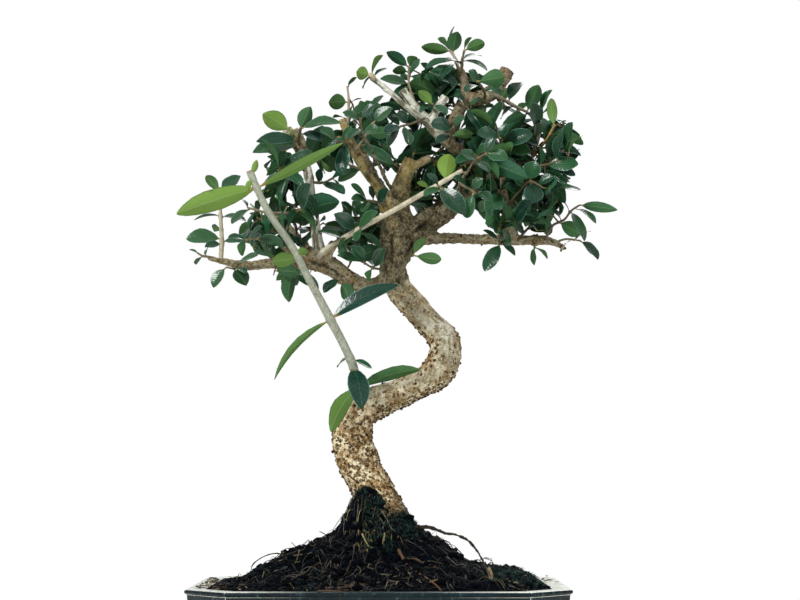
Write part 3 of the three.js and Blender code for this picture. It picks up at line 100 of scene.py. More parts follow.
# Each spray: its twig's route, and its leaves: place on the twig, tip x, y, z, width, turn in degrees.
SPRAYS = {
    "shoot_front": (((-26, -7, 194, 3.5), (-28, -16, 206, 2.9), (-31, -22, 216, 2.8), (-37, -28, 229, 2.7),
        (-44, -34, 242, 2.8), (-52, -40, 257, 2.5), (-58, -45, 268, 2.4), (-63, -50, 278, 2.4), (-68, -54, 287, 2.3),
        (-76, -60, 298, 2.2), (-83, -65, 309, 2.2), (-93, -70, 331, 2.1)), ((0.93, -137, -78, 303, 14, 158),
        (0.93, -36, -72, 350, 10, 140), (0.35, -1, -30, 265, 12, 30), (0.35, -79, -52, 203, 8, 150),
        (0.18, -41, -12, 214, 7, 70), (0.17, -18, -22, 212, 7, 60), (0.14, -24, -40, 186, 14, 12),
        (0.05, -45, -26, 171, 12, 155), (0.04, 13, -24, 211, 10, 140), (0.62, -79, -60, 276, 10, 160),
        (0.63, -58, -58, 284, 6, 150), (0.97, -94, -78, 316, 4, 150), (0.98, -88, -74, 337, 4, 165))),
    "shoot_tan": (((-50, -24, 286, 2.1), (-38, -26, 294, 1.9), (-22, -28, 303, 1.9), (-3, -30, 313, 1.9),
        (18, -32, 325, 1.8), (40, -32, 338, 1.7)), ((0.87, 31, -34, 348, 13, 165), (0.77, 11, -40, 329, 4, 150),
        (0.29, -28, -38, 292, 6, 40), (0.25, -41, -38, 309, 10, 20), (0.26, -14, -40, 310, 10, 40),
        (0.16, -52, -32, 299, 10, 60), (0.18, -39, -36, 282, 8, 100))),
    "left_tip": (((-121, -22, 283, 1.3), (-127, -24, 284, 1), (-130, -24, 286, 0.8)), ((0.91, -135, -24, 288, 4, 70),
        (0.41, -124, -20, 290, 5, 60), (0.56, -132, -16, 280, 6, 90))),
    "left_under": (((-106, -15, 280, 1.3), (-106, -22, 276, 1.1), (-111, -28, 276, 0.8)), ((1, -119, -31, 263, 9, 30),
        (0.59, -98, -27, 265, 11, 25), (0.21, -91, -28, 284, 9, 60), (0.53, -98, -34, 272, 7, 60))),
    "left_upright": (((-115, -18, 281, 1.5), (-116, -8, 296, 1.4), (-118, 1, 314, 1.2), (-119, 6, 331, 0.9)),
        ((0.99, -128, 4, 341, 7, 165), (0.99, -106, 10, 342, 10, 25), (0.68, -135, -3, 311, 10, 80),
        (0.66, -101, -1, 311, 10, 60), (0.34, -139, -10, 297, 12, 30), (0.27, -126, -20, 291, 6, 40),
        (0.3, -98, -12, 296, 10, 50), (0.48, -124, 20, 306, 8, 100))),
    "left_mid": (((-57, -8, 319, 1.8), (-71, -17, 313, 1.5), (-85, -24, 312, 1.3), (-97, -30, 314, 1)),
        ((0.97, -107, -36, 303, 8, 45), (0.88, -97, -22, 301, 8, 70), (0.73, -86, -33, 295, 9, 40),
        (0.2, -78, -22, 317, 8, 60), (0.52, -73, -30, 300, 7, 120), (1, -103, -26, 322, 6, 70))),
    "left_low_front": (((-84, -52, 291, 1.2), (-91, -60, 290, 1.1), (-96, -66, 288, 0.8)),
        ((0.46, -72, -60, 285, 10, 45), (0.91, -105, -72, 290, 7, 60), (0.73, -85, -66, 297, 6, 60),
        (0.91, -98, -76, 278, 7, 120))),
    "left_long_leaf": (((-66, -15, 280, 1.3), (-68, -18, 275, 1), (-67, -19, 271, 0.8)),
        ((0.59, -72, -22, 254, 10, 150), (0.81, -52, -26, 262, 10, 35), (0.72, -80, -12, 270, 8, 120))),
    "bend_leaf": (((-40, -12, 276, 1.2), (-38, -18, 268, 0.9)), ((1, -33, -20, 256, 10, 160),
        (0.79, -49, -22, 261, 8, 40), (0.91, -27, -8, 262, 8, 120))),
    "crotch": (((-10, -6, 278, 1.3), (-17, -16, 277, 1.2), (-24, -24, 280, 0.9)), ((0.52, -10, -28, 288, 9, 25),
        (0.88, -30, -28, 289, 8, 30), (0.95, -40, -30, 284, 10, 60), (0.59, -20, -24, 267, 8, 120))),
    "left_pale_twig": (((-70, -14, 282, 1.4), (-74, 4, 301, 1.3), (-76, 18, 319, 1.2), (-78, 28, 337, 0.9)),
        ((0.99, -91, 24, 337, 8, 60), (1, -87, 32, 350, 9, 60), (1, -71, 26, 351, 9, 30), (0.6, -66, 25, 312, 8, 100),
        (0.78, -88, 31, 329, 7, 110), (0.35, -65, 12, 295, 7, 60))),
    "left_top": (((-66, -3, 358, 2), (-66, -16, 362, 1.6), (-64, -26, 367, 1.2)), ((0.55, -89, -22, 377, 13, 165),
        (0.44, -92, -22, 358, 9, 30), (0.17, -95, -20, 353, 12, 20), (0.9, -58, -20, 382, 10, 160),
        (0.96, -38, -29, 370, 12, 45), (0.73, -50, -25, 359, 9, 40))),
    "left_top_back": (((-62, -1, 342, 1.6), (-59, 19, 354, 1.3), (-56, 34, 365, 1.1)), ((0.97, -45, 27, 348, 11, 160),
        (0.93, -48, 34, 375, 9, 40), (0.7, -69, 35, 365, 9, 60), (0.55, -68, 29, 349, 7, 110))),
    "left_inner": (((-60, -6, 335, 1.6), (-51, -3, 335, 1.2), (-44, 2, 339, 1)), ((1, -40, -2, 330, 7, 60),
        (0.33, -51, -13, 342, 7, 30), (0.4, -36, -17, 326, 10, 50), (0.86, -33, -5, 343, 8, 45),
        (0.26, -61, -16, 324, 8, 110))),
    "golden_tip": (((-35, -11, 368, 1.6), (-34, -6, 380, 1.4), (-34, 0, 392, 1.2), (-35, 4, 401, 0.9)),
        ((0.64, -47, -6, 388, 11, 150), (0.98, -29, 2, 407, 6, 100), (0.6, -26, 2, 393, 6, 80),
        (0.27, -12, -9, 385, 11, 150), (0.25, -44, 4, 381, 7, 60))),
    "golden_right": (((-29, -13, 353, 1.4), (-23, -24, 361, 1.2), (-17, -32, 369, 1)), ((1, -5, -36, 378, 10, 30),
        (0.64, -6, -35, 363, 9, 150), (0.58, -32, -32, 364, 7, 60), (0.31, -4, -34, 342, 9, 25),
        (0.94, -22, -30, 379, 8, 40), (0.81, -9, -20, 373, 8, 90))),
    "golden_left": (((-31, -13, 358, 1.3), (-36, -27, 357, 1), (-41, -38, 356, 0.8)), ((0.5, -38, -34, 336, 10, 20),
        (0.95, -51, -39, 364, 8, 40), (0.9, -47, -40, 348, 8, 60), (0.66, -31, -35, 365, 6, 60))),
    "fork_left": (((-9, -9, 319, 1.4), (-16, -18, 320, 1.2), (-21, -22, 320, 0.9)), ((0.5, -8, -26, 326, 8, 35),
        (0.91, -23, -28, 312, 8, 60), (0.96, -31, -26, 321, 8, 40), (0.72, -19, -24, 329, 7, 60),
        (1, -31, -28, 330, 8, 60))),
    "stub_tip": (((-17, -31, 398, 1.3), (-20, -32, 401, 1)), ((0.62, -28, -34, 402, 9, 165),
        (0.5, -12, -30, 414, 9, 100), (0.19, -9, -28, 406, 6, 60), (0.5, -24, -30, 393, 6, 90))),
    "top_left": (((13, -15, 380, 1.7), (9, -1, 391, 1.5), (6, 12, 405, 1.3), (6, 22, 419, 1)),
        ((0.98, -9, 17, 428, 8, 150), (0.89, -5, 13, 414, 7, 140), (0.68, -13, 6, 407, 9, 30),
        (0.98, 11, 19, 425, 9, 150), (0.64, -3, 3, 394, 9, 40), (0.82, 20, 13, 407, 9, 40), (0.47, 19, 9, 394, 9, 60),
        (0.39, -3, 11, 388, 8, 60))),
    "centre_high": (((16, -16, 375, 1.4), (7, -33, 368, 1.2), (0, -44, 364, 0.9)), ((0.93, -10, -47, 360, 8, 35),
        (0.72, -1, -43, 374, 8, 30), (0.86, 6, -48, 352, 8, 40), (0.97, -8, -46, 352, 8, 50))),
    "short_stub_leaf": (((23, -18, 379, 1.3), (21, -24, 383, 1)), ((0.85, 12, -26, 391, 7, 165),
        (0.75, 30, -34, 375, 8, 30), (0.6, 13, -34, 376, 7, 50))),
    "top_crown": (((39, 8, 414, 2), (37, 10, 421, 1.6), (34, 13, 428, 1.2)), ((0.93, 14, 7, 429, 8, 150),
        (0.77, 38, 6, 439, 10, 165), (1, 36, 16, 445, 9, 80), (0.45, 17, 2, 414, 9, 50), (0.35, 26, -1, 405, 9, 40),
        (0.93, 26, 21, 438, 8, 100))),
    "top_bud": (((41, 6, 411, 1.7), (41, -8, 416, 1.4), (42, -17, 420, 1.1)), ((1, 55, -22, 424, 8, 150),
        (0.58, 57, -18, 407, 10, 60), (0.67, 54, -3, 421, 7, 60), (0.96, 46, -9, 431, 7, 100),
        (0.39, 30, -19, 413, 7, 60))),
    "top_right": (((56, 2, 393, 1.6), (54, -16, 395, 1.3), (50, -27, 397, 1)), ((1, 67, -36, 398, 12, 160),
        (0.8, 45, -29, 404, 8, 40), (0.47, 65, -24, 391, 8, 40), (0.73, 42, -34, 389, 8, 50))),
    "twig_right": (((63, 6, 396, 2.3), (71, 9, 392, 1.9), (79, 15, 389, 1.7), (86, 20, 387, 1.2)),
        ((0.97, 93, 17, 405, 11, 165), (0.39, 82, 17, 408, 10, 30), (0.73, 77, 8, 368, 14, 15),
        (0.25, 59, -1, 373, 11, 40), (0.91, 92, 28, 379, 9, 60), (0.55, 68, 25, 384, 9, 60))),
    "hanging": (((40, -3, 388, 1.5), (43, -12, 384, 1.2), (44, -16, 382, 0.9)), ((0.87, 55, -22, 366, 11, 25),
        (0.8, 36, -20, 390, 8, 60), (0.92, 53, -24, 386, 8, 60))),
    "front_high": (((32, -12, 360, 1.4), (33, -28, 362, 1.2), (34, -37, 365, 0.9)), ((0.88, 20, -43, 366, 10, 20),
        (0.49, 47, -32, 362, 7, 150), (0.95, 41, -39, 372, 8, 50), (0.62, 23, -40, 354, 8, 40))),
    "mass_front": (((71, 2, 346, 1.7), (67, -17, 353, 1.4), (64, -32, 359, 1)), ((0.75, 85, -32, 362, 12, 20),
        (0.97, 50, -38, 362, 10, 30), (0.56, 84, -27, 351, 10, 25), (0.69, 52, -35, 353, 10, 25),
        (0.97, 69, -34, 368, 9, 40), (0.87, 77, -18, 372, 10, 60))),
    "long_green": (((46, -4, 348, 1.6), (47, -25, 347, 1.3), (48, -38, 347, 1)), ((0.87, 82, -44, 331, 12, 155),
        (0.74, 35, -43, 341, 8, 40), (0.87, 43, -42, 354, 8, 50), (0.87, 57, -48, 351, 8, 40))),
    "cut_twig": (((88, 8, 357, 1.9), (92, 13, 367, 1.6), (94, 22, 382, 1.5), (97, 32, 397, 1.4)),
        ((0.52, 115, 13, 373, 10, 25), (0.59, 123, 25, 373, 9, 60), (0.55, 84, 20, 386, 7, 60),
        (0.36, 82, 23, 369, 9, 40), (0.71, 105, 34, 393, 8, 90))),
    "yellow_twig": (((87, 4, 353, 1.7), (91, -12, 356, 1.4), (95, -25, 360, 1.2), (99, -34, 367, 1)),
        ((0.98, 97, -36, 384, 7, 165), (0.82, 118, -33, 356, 8, 130), (0.63, 116, -31, 348, 8, 40),
        (0.43, 80, -25, 359, 8, 30), (0.89, 107, -23, 373, 7, 60))),
    "right_fan": (((80, 8, 350, 1.5), (87, -11, 344, 1.2), (94, -30, 342, 1)), ((0.97, 113, -37, 342, 11, 20),
        (0.89, 112, -33, 335, 8, 40), (0.69, 107, -27, 329, 13, 60), (0.81, 96, -16, 354, 8, 60))),
    "riser_right": (((70, -10, 318, 1.6), (76, -23, 325, 1.3), (83, -30, 331, 1.1), (92, -34, 326, 0.8)),
        ((0.72, 86, -33, 344, 12, 15), (0.74, 85, -40, 316, 13, 12), (0.44, 68, -33, 328, 8, 30),
        (0.98, 115, -36, 325, 10, 60), (0.57, 73, -32, 334, 8, 30), (0.87, 97, -37, 333, 8, 40))),
    "riser_left": (((68, -11, 322, 1.4), (64, -20, 327, 1.1)), ((0.93, 57, -28, 310, 13, 15),
        (0.5, 56, -18, 304, 11, 40), (1, 55, -24, 332, 8, 40), (0.88, 71, -24, 333, 8, 50))),
    "under_right": (((67, -6, 296, 1.3), (64, -19, 292, 1)), ((0.77, 54, -25, 275, 10, 20),
        (0.38, 69, -30, 298, 11, 15), (0.77, 54, -23, 301, 8, 60), (0.62, 75, -18, 286, 7, 60))),
    "drop_leaf": (((88, -4, 296, 1.2), (88, -2, 292, 0.9)), ((0.67, 87, -6, 280, 7, 130), (0.83, 97, 3, 286, 7, 100))),
    "right_mass": (((78, -4, 298, 1.4), (83, -1, 304, 1.2), (89, 8, 311, 1)), ((0.46, 99, -10, 301, 10, 25),
        (0.92, 100, 2, 313, 8, 60), (0.3, 72, -14, 307, 8, 30), (0.77, 80, -1, 316, 9, 40), (1, 97, 12, 322, 8, 60))),
    "right_tip": (((95, -4, 297, 1.6), (99, -14, 305, 1.4), (106, -20, 308, 1.2), (110, -25, 313, 1),
        (115, -29, 316, 0.8)), ((1, 139, -30, 313, 7, 160), (0.91, 125, -32, 304, 9, 60),
        (0.49, 116, -28, 298, 10, 155), (0.8, 118, -36, 293, 9, 40), (0.55, 98, -23, 315, 6, 60),
        (0.77, 105, -19, 321, 6, 80))),
    "right_low": (((101, 2, 296, 1.4), (111, 21, 301, 1.2), (122, 36, 302, 0.9)), ((1, 134, 34, 289, 9, 40),
        (0.67, 108, 31, 294, 7, 90), (0.8, 129, 38, 310, 7, 60))),
    "trunk_right": (((3, -6, 285, 1.2), (9, -10, 286, 0.9)), ((1, 27, -14, 283, 8, 160), (0.89, 16, -12, 297, 7, 150))),
    "front_right_a": (((35, -46, 320, 1.3), (29, -54, 322, 1.1), (24, -58, 323, 0.8)), ((0.94, 40, -66, 305, 13, 15),
        (0.85, 15, -64, 316, 8, 40), (0.96, 17, -60, 331, 7, 50))),
    "front_right_b": (((38, -52, 326, 1.3), (44, -58, 321, 1.1), (47, -62, 318, 0.8)), ((0.88, 41, -66, 303, 9, 20),
        (0.92, 57, -66, 313, 8, 40), (0.73, 51, -64, 327, 8, 40), (0.46, 33, -68, 327, 7, 50))),
    "front_right_tip": (((41, -57, 331, 1.2), (46, -63, 338, 1.1), (53, -68, 342, 0.8)), ((0.95, 66, -74, 338, 9, 20),
        (0.67, 38, -72, 342, 8, 30), (1, 58, -70, 351, 8, 40), (0.59, 55, -72, 330, 8, 40))),
    "front_left_tip": (((-21, -53, 352, 1.3), (-24, -58, 359, 1.1), (-25, -62, 366, 0.8)),
        ((0.84, -35, -66, 369, 7, 40), (0.92, -16, -64, 374, 7, 40), (0.44, -14, -66, 358, 8, 30),
        (0.6, -32, -66, 352, 7, 40))),
    "back_left_a": (((-19, 51, 351, 1.5), (-31, 62, 357, 1.3), (-43, 69, 364, 1)), ()),
    "back_left_b": (((-26, 62, 368, 1.7), (-27, 68, 382, 1.4), (-21, 70, 397, 1)), ()),
    "back_right_a": (((53, 59, 357, 1.5), (67, 68, 361, 1.3), (83, 73, 366, 1)), ()),
    "back_right_b": (((63, 70, 377, 1.7), (61, 73, 394, 1.4), (55, 73, 412, 1)), ()),
    "back_right_c": (((41, 38, 337, 1.5), (55, 54, 336, 1.3), (70, 66, 332, 1)), ()),
    "far_left_a": (((-75, 40, 311, 1.4), (-86, 50, 315, 1.2), (-99, 56, 318, 0.9)), ()),
    "far_left_b": (((-85, 52, 326, 1.5), (-89, 60, 341, 1.2), (-84, 62, 357, 0.9)), ()),
    "top_back_a": (((39, 10, 386, 1.7), (34, 30, 399, 1.4), (25, 46, 415, 1)), ()),
    "top_back_b": (((63, 16, 400, 1.7), (70, 36, 396, 1.4), (80, 52, 393, 1)), ()),
    "right_back": (((83, 14, 353, 1.6), (94, 34, 352, 1.4), (104, 48, 347, 1)), ()),
}
# The pairs of leaves that sprays have besides: number, length, start on the twig.
LEAF_PAIRS = {"left_top_back": (1, 15, 0.6), "top_left": (1, 14, 0.5), "mass_front": (1, 16, 0.5),
    "cut_twig": (1, 15, 0.4), "right_fan": (1, 15, 0.5), "back_left_a": (4, 17, 0.35), "back_left_b": (4, 17, 0.35),
    "back_right_a": (4, 17, 0.35), "back_right_b": (4, 17, 0.35), "back_right_c": (4, 16, 0.35),
    "far_left_a": (3, 15, 0.35), "far_left_b": (3, 15, 0.35), "top_back_a": (4, 16, 0.35), "top_back_b": (3, 16, 0.35),
    "right_back": (3, 15, 0.35)}
NO_PAIRS = (0, 0, 0)
# How young some of the leaves look, from 0, full-grown, to 1, new, by spray and leaf number; the new
# leaves' paler colour is also painted light shining through them. Below 0 is full-grown and dark.
YOUNG_LEAVES = {
    "shoot_front": {0: 0.75, 1: 0.5, 2: -1, 3: 0.25, 6: -1, 7: 0.45, 8: 0.1, 9: 0.6, 10: 0.6, 11: 0.9, 12: 0.9},
    "shoot_tan": {0: 1.0, 1: 0.7}, "left_top": {0: 0.7, 3: 0.1}, "left_top_back": {0: 0.25}, "left_upright": {0: 0.2},
    "golden_tip": {0: 0.15, 3: 0.1}, "stub_tip": {0: 0.6, 1: 0.4}, "short_stub_leaf": {0: 0.55},
    "front_high": {1: 0.25}, "yellow_twig": {0: 0.5}, "long_green": {0: 0.0}, "top_crown": {1: 0.15, 0: 0.12},
    "top_bud": {0: 0.12}, "trunk_right": {0: 0.2, 1: 0.25}, "left_under": {1: 0.15}}

# ---------------------------------------------------------------- leaf places

LEAF_ARCH = 0.06
LEAF_FORM = ((0, 0), (0.36, 1), (0.76, 0.84), (1, 0))
LONG_LEAF_FORM = ((0, 0), (0.16, 0.5), (0.42, 1), (0.72, 0.82), (1, 0))
LONG_LEAF = 26  # a leaf at least this long has the lance form
LEAF_WIDTH_SHARE = 0.56
LEAF_CLEARANCE = 2.4
SPRAY_CLEARANCE = 1.5
WOOD_CLEARANCE = 1.1
SAMPLE_STEP = 1.9
TURN = 6.28  # radians, near enough to a full turn for a random angle
LEAF_TRIES = 16


def seeded_random(seed):
    """Numbers from 0 to 1 that follow from a seed, one at each call."""
    state = (seed * 2654435761 + 12345) & 0xFFFFFFFF

    def draw():
        nonlocal state
        state = (state * 1664525 + 1013904223) & 0xFFFFFFFF
        return state / 4294967296

    return draw


def unit(vector):
    return vector / max(math.sqrt(float(vector @ vector)), 1e-12)


def turned_about(vector, axis, angle):
    """A vector turned about a unit axis."""
    cos, sin = math.cos(angle), math.sin(angle)
    return vector * cos + np.cross(axis, vector) * sin + axis * float(axis @ vector) * (1 - cos)


def line_gaps(points, start, along):
    """Where each point lies beside each line, as a share of the line, and how far from it."""
    away = points[:, None, :] - start[None]
    share = np.clip((away * along).sum(2) / (along * along).sum(1), 0, 1)
    return share, np.linalg.norm(away - share[..., None] * along, axis=2)


class Wood:
    """Straight stretches of limbs and twigs, for clearance tests."""

    def __init__(self):
        self.start, self.end, self.radius, self.owner = [], [], [], []

    def add(self, route, owner):
        for first, last in zip(route, route[1:]):
            self.start.append(first[:3])
            self.end.append(last[:3])
            self.radius.append(max(first[3], last[3]))
            self.owner.append(owner)

    def distances(self, points, picked):
        """Distance of each point from each picked stretch's line."""
        start = np.array(self.start, float)[picked]
        return line_gaps(points, start, np.array(self.end, float)[picked] - start)[1]

    def nearest(self, point):
        """The stretch whose surface lies nearest, and the point on its line."""
        start = np.array(self.start, float)
        along = np.array(self.end, float) - start
        share = np.clip(((point - start) * along).sum(1) / (along * along).sum(1), 0, 1)
        places = start + share[:, None] * along
        gaps = np.linalg.norm(point - places, axis=1) - np.array(self.radius)
        best = int(np.argmin(gaps))
        return best, places[best]


def limb_wood():
    """The limbs' own wood, which belongs to no spray."""
    wood = Wood()
    for route in LIMBS.values():
        wood.add(route, "")
    return wood


LIMB_WOOD = limb_wood()


def rooted_route(twig):
    """The twig's route with its root on the axis of the limb next to it."""
    start = np.array(twig[0][:3], float)
    root = LIMB_WOOD.nearest(start)[1]
    if np.linalg.norm(root - start) < 0.5:
        return [list(point) for point in twig]
    return [[*root, twig[0][3]]] + [list(point) for point in twig]


def place_on(twig, share):
    """The point at a share of a twig's length, and the way that the twig runs there."""
    points = np.array(twig, float)[:, :3]
    lengths = np.linalg.norm(np.diff(points, axis=0), axis=1)
    left = share * lengths.sum()
    k = 0
    while k < len(lengths) - 1 and left > lengths[k]:
        left -= lengths[k]
        k += 1
    way = unit(points[k + 1] - points[k])
    return points[k] + way * left, way


def leaf_at(base, tip, width, turn):
    """A leaf from base to tip. Turn 0 shows its upper face to the front, 90 shows it to the sky."""
    axis = tip - base
    length = math.sqrt(float(axis @ axis))
    axis = unit(axis)
    facing = unit(FRONT - axis * float(FRONT @ axis))
    upward = np.cross(axis, facing)
    if upward[2] < 0:
        upward = -upward
    normal = facing * math.cos(math.radians(turn)) + upward * math.sin(math.radians(turn))
    side = np.cross(axis, normal)
    return {"base": base, "axis": axis, "normal": normal, "side": side, "length": length, "width": width}


def leaf_point(leaf, share, across):
    form = LONG_LEAF_FORM if leaf["length"] >= LONG_LEAF else LEAF_FORM
    k = next(i for i, (station, _) in enumerate(form) if station >= share)
    (s0, w0), (s1, w1) = form[max(k - 1, 0)], form[k]
    wide = w0 + (w1 - w0) * (share - s0) / (s1 - s0) if s1 > s0 else w1
    return (
        leaf["base"]
        + leaf["axis"] * (leaf["length"] * share)
        + leaf["normal"] * (4 * LEAF_ARCH * leaf["length"] * share * (1 - share))
        + leaf["side"] * (across * wide * leaf["width"] / 2)
    )


def with_samples(leaf, owner):
    """Adds the points that stand for a leaf in the clearance test."""
    rows = math.ceil(leaf["length"] / SAMPLE_STEP)
    columns = max(1, math.ceil(leaf["width"] / 2 / SAMPLE_STEP))
    samples, free = [], []
    for i in range(1, rows + 1):
        share = min(1, 0.1 + 0.9 * i / rows)
        for j in range(-columns, columns + 1):
            point = leaf_point(leaf, share, j / columns)
            samples.append(point)
            if share > 0.3:
                free.append(point)
    leaf.update(
        owner=owner, samples=np.array(samples), free=np.array(free),
        middle=leaf_point(leaf, 0.5, 0), reach=0.6 * leaf["length"] + 1,
    )
    return leaf


def too_near(points, others, distance):
    gaps = ((points[:, None, :] - others[None]) ** 2).sum(2)
    return bool((gaps < distance * distance).any())


def is_clear(leaf, placed, wood, leaf_gap=LEAF_CLEARANCE, own_gap=SPRAY_CLEARANCE, wood_gap=WOOD_CLEARANCE):
    """Whether a leaf keeps clear of the other leaves and of wood that isn't its own twig."""
    for other in placed:
        apart = leaf["middle"] - other["middle"]
        limit = leaf["reach"] + other["reach"] + LEAF_CLEARANCE
        if float(apart @ apart) >= limit * limit:
            continue
        if other["owner"] == leaf["owner"]:
            if too_near(leaf["free"], other["free"], own_gap):
                return False
        elif too_near(leaf["samples"], other["samples"], leaf_gap):
            return False
    radius = np.array(wood.radius) + wood_gap
    foreign = np.array([owner != leaf["owner"] for owner in wood.owner])
    everything = np.arange(len(radius))
    close = wood.distances(leaf["middle"][None], everything)[0] <= leaf["reach"] + radius
    picked = everything[close & foreign]
    if len(picked) == 0:
        return True
    return not bool((wood.distances(leaf["samples"], picked) < radius[picked]).any())


def aimed_leaf(twig, aim, attempt):
    """A leaf aimed at its listed tip. Each further try turns it and moves its tip a little."""
    share, x, y, z, width, turn = aim
    shift = math.ceil(attempt / 2) * (1 if attempt % 2 else -1)
    tip = np.array([x, y + 2 * shift, z + (shift * 0.7 if attempt > 6 else 0)], float)
    turned = turn + 14 * ((attempt * 2) % 3 - 1) * min(attempt, 1)
    return leaf_at(place_on(twig, share)[0], tip, width, turned)


def pair_leaf(twig, pairs, pair, sign, seed, attempt):
    """One leaf of a pair on a twig. The pairs cross each other, as an olive's do."""
    count, length, start = pairs
    random = seeded_random(seed * 64 + attempt)
    share = start + (0.97 - start) * pair / (count - 1) if count > 1 else 0.8
    point, way = place_on(twig, share)
    outward = unit(UP - way * way[2])
    around = pair * 1.57 + 0.5 + (random() - 0.5) * (0.5 + 0.15 * attempt)
    outward = turned_about(outward, way, around) * sign
    spread = 0.7 + 0.5 * random() - 0.25 * (pair / count)
    axis = way * math.cos(spread) + outward * math.sin(spread)
    long = length * (0.82 + 0.3 * random()) * (0.8 if attempt > 8 else 1)
    width = long * LEAF_WIDTH_SHARE * (0.9 + 0.25 * random())
    return leaf_at(point, point + axis * long, width, 40 + 110 * random())


def place_leaves(sprays, wood):
    """Every spray's leaves, each at its first place that is clear of the wood and of the others."""
    placed = []

    def place(owner, candidate):
        for attempt in range(LEAF_TRIES):
            leaf = with_samples(candidate(attempt), owner)
            if is_clear(leaf, placed, wood):
                placed.append(leaf)
                return leaf
        return None

    for name, (twig, aims) in sprays.items():
        for number, aim in enumerate(aims):
            leaf = place(name, lambda attempt: aimed_leaf(twig, aim, attempt))
            if leaf is not None:
                leaf["number"] = number
                if number in YOUNG_LEAVES.get(name, {}):
                    leaf["young"] = YOUNG_LEAVES[name][number]
    for index, (name, (twig, _)) in enumerate(sprays.items()):
        pairs = LEAF_PAIRS.get(name, NO_PAIRS)
        for pair in range(pairs[0]):
            for sign in (1, -1):
                seed = index * 32 + pair * 2 + (1 if sign > 0 else 0)
                place(name, lambda attempt: pair_leaf(twig, pairs, pair, sign, seed, attempt))
    return placed

# ---------------------------------------------------------------- meshes


def colour_layer(mesh, name, colours):
    """Gives each point of a mesh a colour in an attribute of this name."""
    layer = mesh.color_attributes.new(name, "FLOAT_COLOR", "POINT")
    layer.data.foreach_set("color", colours.astype(np.float32).ravel())


class Shell:
    """Collects points, quads and triangles, with a finish number per face and a colour per point."""

    def __init__(self):
        self.points, self.colours, self.count = [], [], 0
        self.quads, self.quad_finish = [], []
        self.triangles, self.triangle_finish = [], []

    def add(self, points, quads=(), triangles=(), colour=(0, 0, 0, 0), finish=0, quad_finish=None):
        points = np.asarray(points, float).reshape(-1, 3)
        colours = np.broadcast_to(np.asarray(colour, float), (len(points), 4))
        self.points.append(points)
        self.colours.append(colours)
        if len(quads):
            self.quads.append(np.asarray(quads, int) + self.count)
            self.quad_finish.append(np.full(len(quads), finish) if quad_finish is None else quad_finish)
        if len(triangles):
            self.triangles.append(np.asarray(triangles, int) + self.count)
            self.triangle_finish.append(np.full(len(triangles), finish))
        self.count += len(points)

    def mesh(self, name, attribute=None):
        """One mesh in metres from all that was added."""
        points = np.concatenate(self.points)
        faces = [np.concatenate(group) for group in (self.quads, self.triangles) if group]
        finish = np.concatenate(self.quad_finish + self.triangle_finish)
        mesh = bpy.data.meshes.new(name)
        mesh.vertices.add(len(points))
        mesh.vertices.foreach_set("co", (points * MM).astype(np.float32).ravel())
        corners = np.concatenate([group.ravel() for group in faces])
        sizes = np.concatenate([np.full(len(group), group.shape[1]) for group in faces])
        mesh.loops.add(len(corners))
        mesh.loops.foreach_set("vertex_index", corners.astype(np.int32))
        mesh.polygons.add(len(sizes))
        starts = np.concatenate(([0], np.cumsum(sizes)[:-1]))
        mesh.polygons.foreach_set("loop_start", starts.astype(np.int32))
        mesh.polygons.foreach_set("material_index", finish.astype(np.int32))
        mesh.update(calc_edges=True)
        mesh.shade_smooth()
        if attribute:
            colour_layer(mesh, attribute, np.concatenate(self.colours))
        return mesh


def new_object(name, data):
    """A new object in the scene."""
    made = bpy.data.objects.new(name, data)
    bpy.context.scene.collection.objects.link(made)
    return made


def piece(name, mesh, finishes, stands_for=()):
    """Adds a mesh as a piece of the object, on its body, with its finishes."""
    made = new_object(name, mesh)
    for finish in finishes:
        mesh.materials.append(finish)
    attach(made, "root")
    if stands_for:
        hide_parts(*stands_for)


def smooth_route(route, step):
    """A curve through a route of x, y, z and radius, with a point about every step of length."""
    points = np.array(route, float)
    gaps = np.linalg.norm(np.diff(points[:, :3], axis=0), axis=1)
    slopes = np.diff(points, axis=0) / gaps[:, None]
    tangents = np.vstack([slopes[:1], (slopes[1:] + slopes[:-1]) / 2, slopes[-1:]])
    curve = []
    for k, gap in enumerate(gaps):
        t = np.arange(max(1, round(gap / step)))[:, None] / max(1, round(gap / step))
        curve.append(
            (2 * t**3 - 3 * t**2 + 1) * points[k] + (t**3 - 2 * t**2 + t) * gap * tangents[k]
            + (3 * t**2 - 2 * t**3) * points[k + 1] + (t**3 - t**2) * gap * tangents[k + 1]
        )
    return np.vstack(curve + [points[-1:]])


def ring_quads(rings, sides):
    """The quads between rings of points, each ring with the next."""
    around = np.arange(sides)
    onward = (around + 1) % sides
    first = np.stack([around, onward, onward + sides, around + sides], 1)
    return np.vstack([first + k * sides for k in range(rings - 1)])


def fan(ring, middle):
    """The triangles between a ring of points and its middle."""
    return np.stack([ring, np.roll(ring, -1), np.full(len(ring), middle)], 1)


def lengths_to(route):
    """How far along a route each of its points lies."""
    return np.concatenate(([0], np.cumsum(np.linalg.norm(np.diff(route[:, :3], axis=0), axis=1))))


def grain(point, size):
    """Noise of this grain size at a point."""
    return noise.noise(Vector(point / size))


def opaque(tones):
    """Rows of red, green and blue with full alpha."""
    return np.column_stack([tones, np.ones(len(tones))])


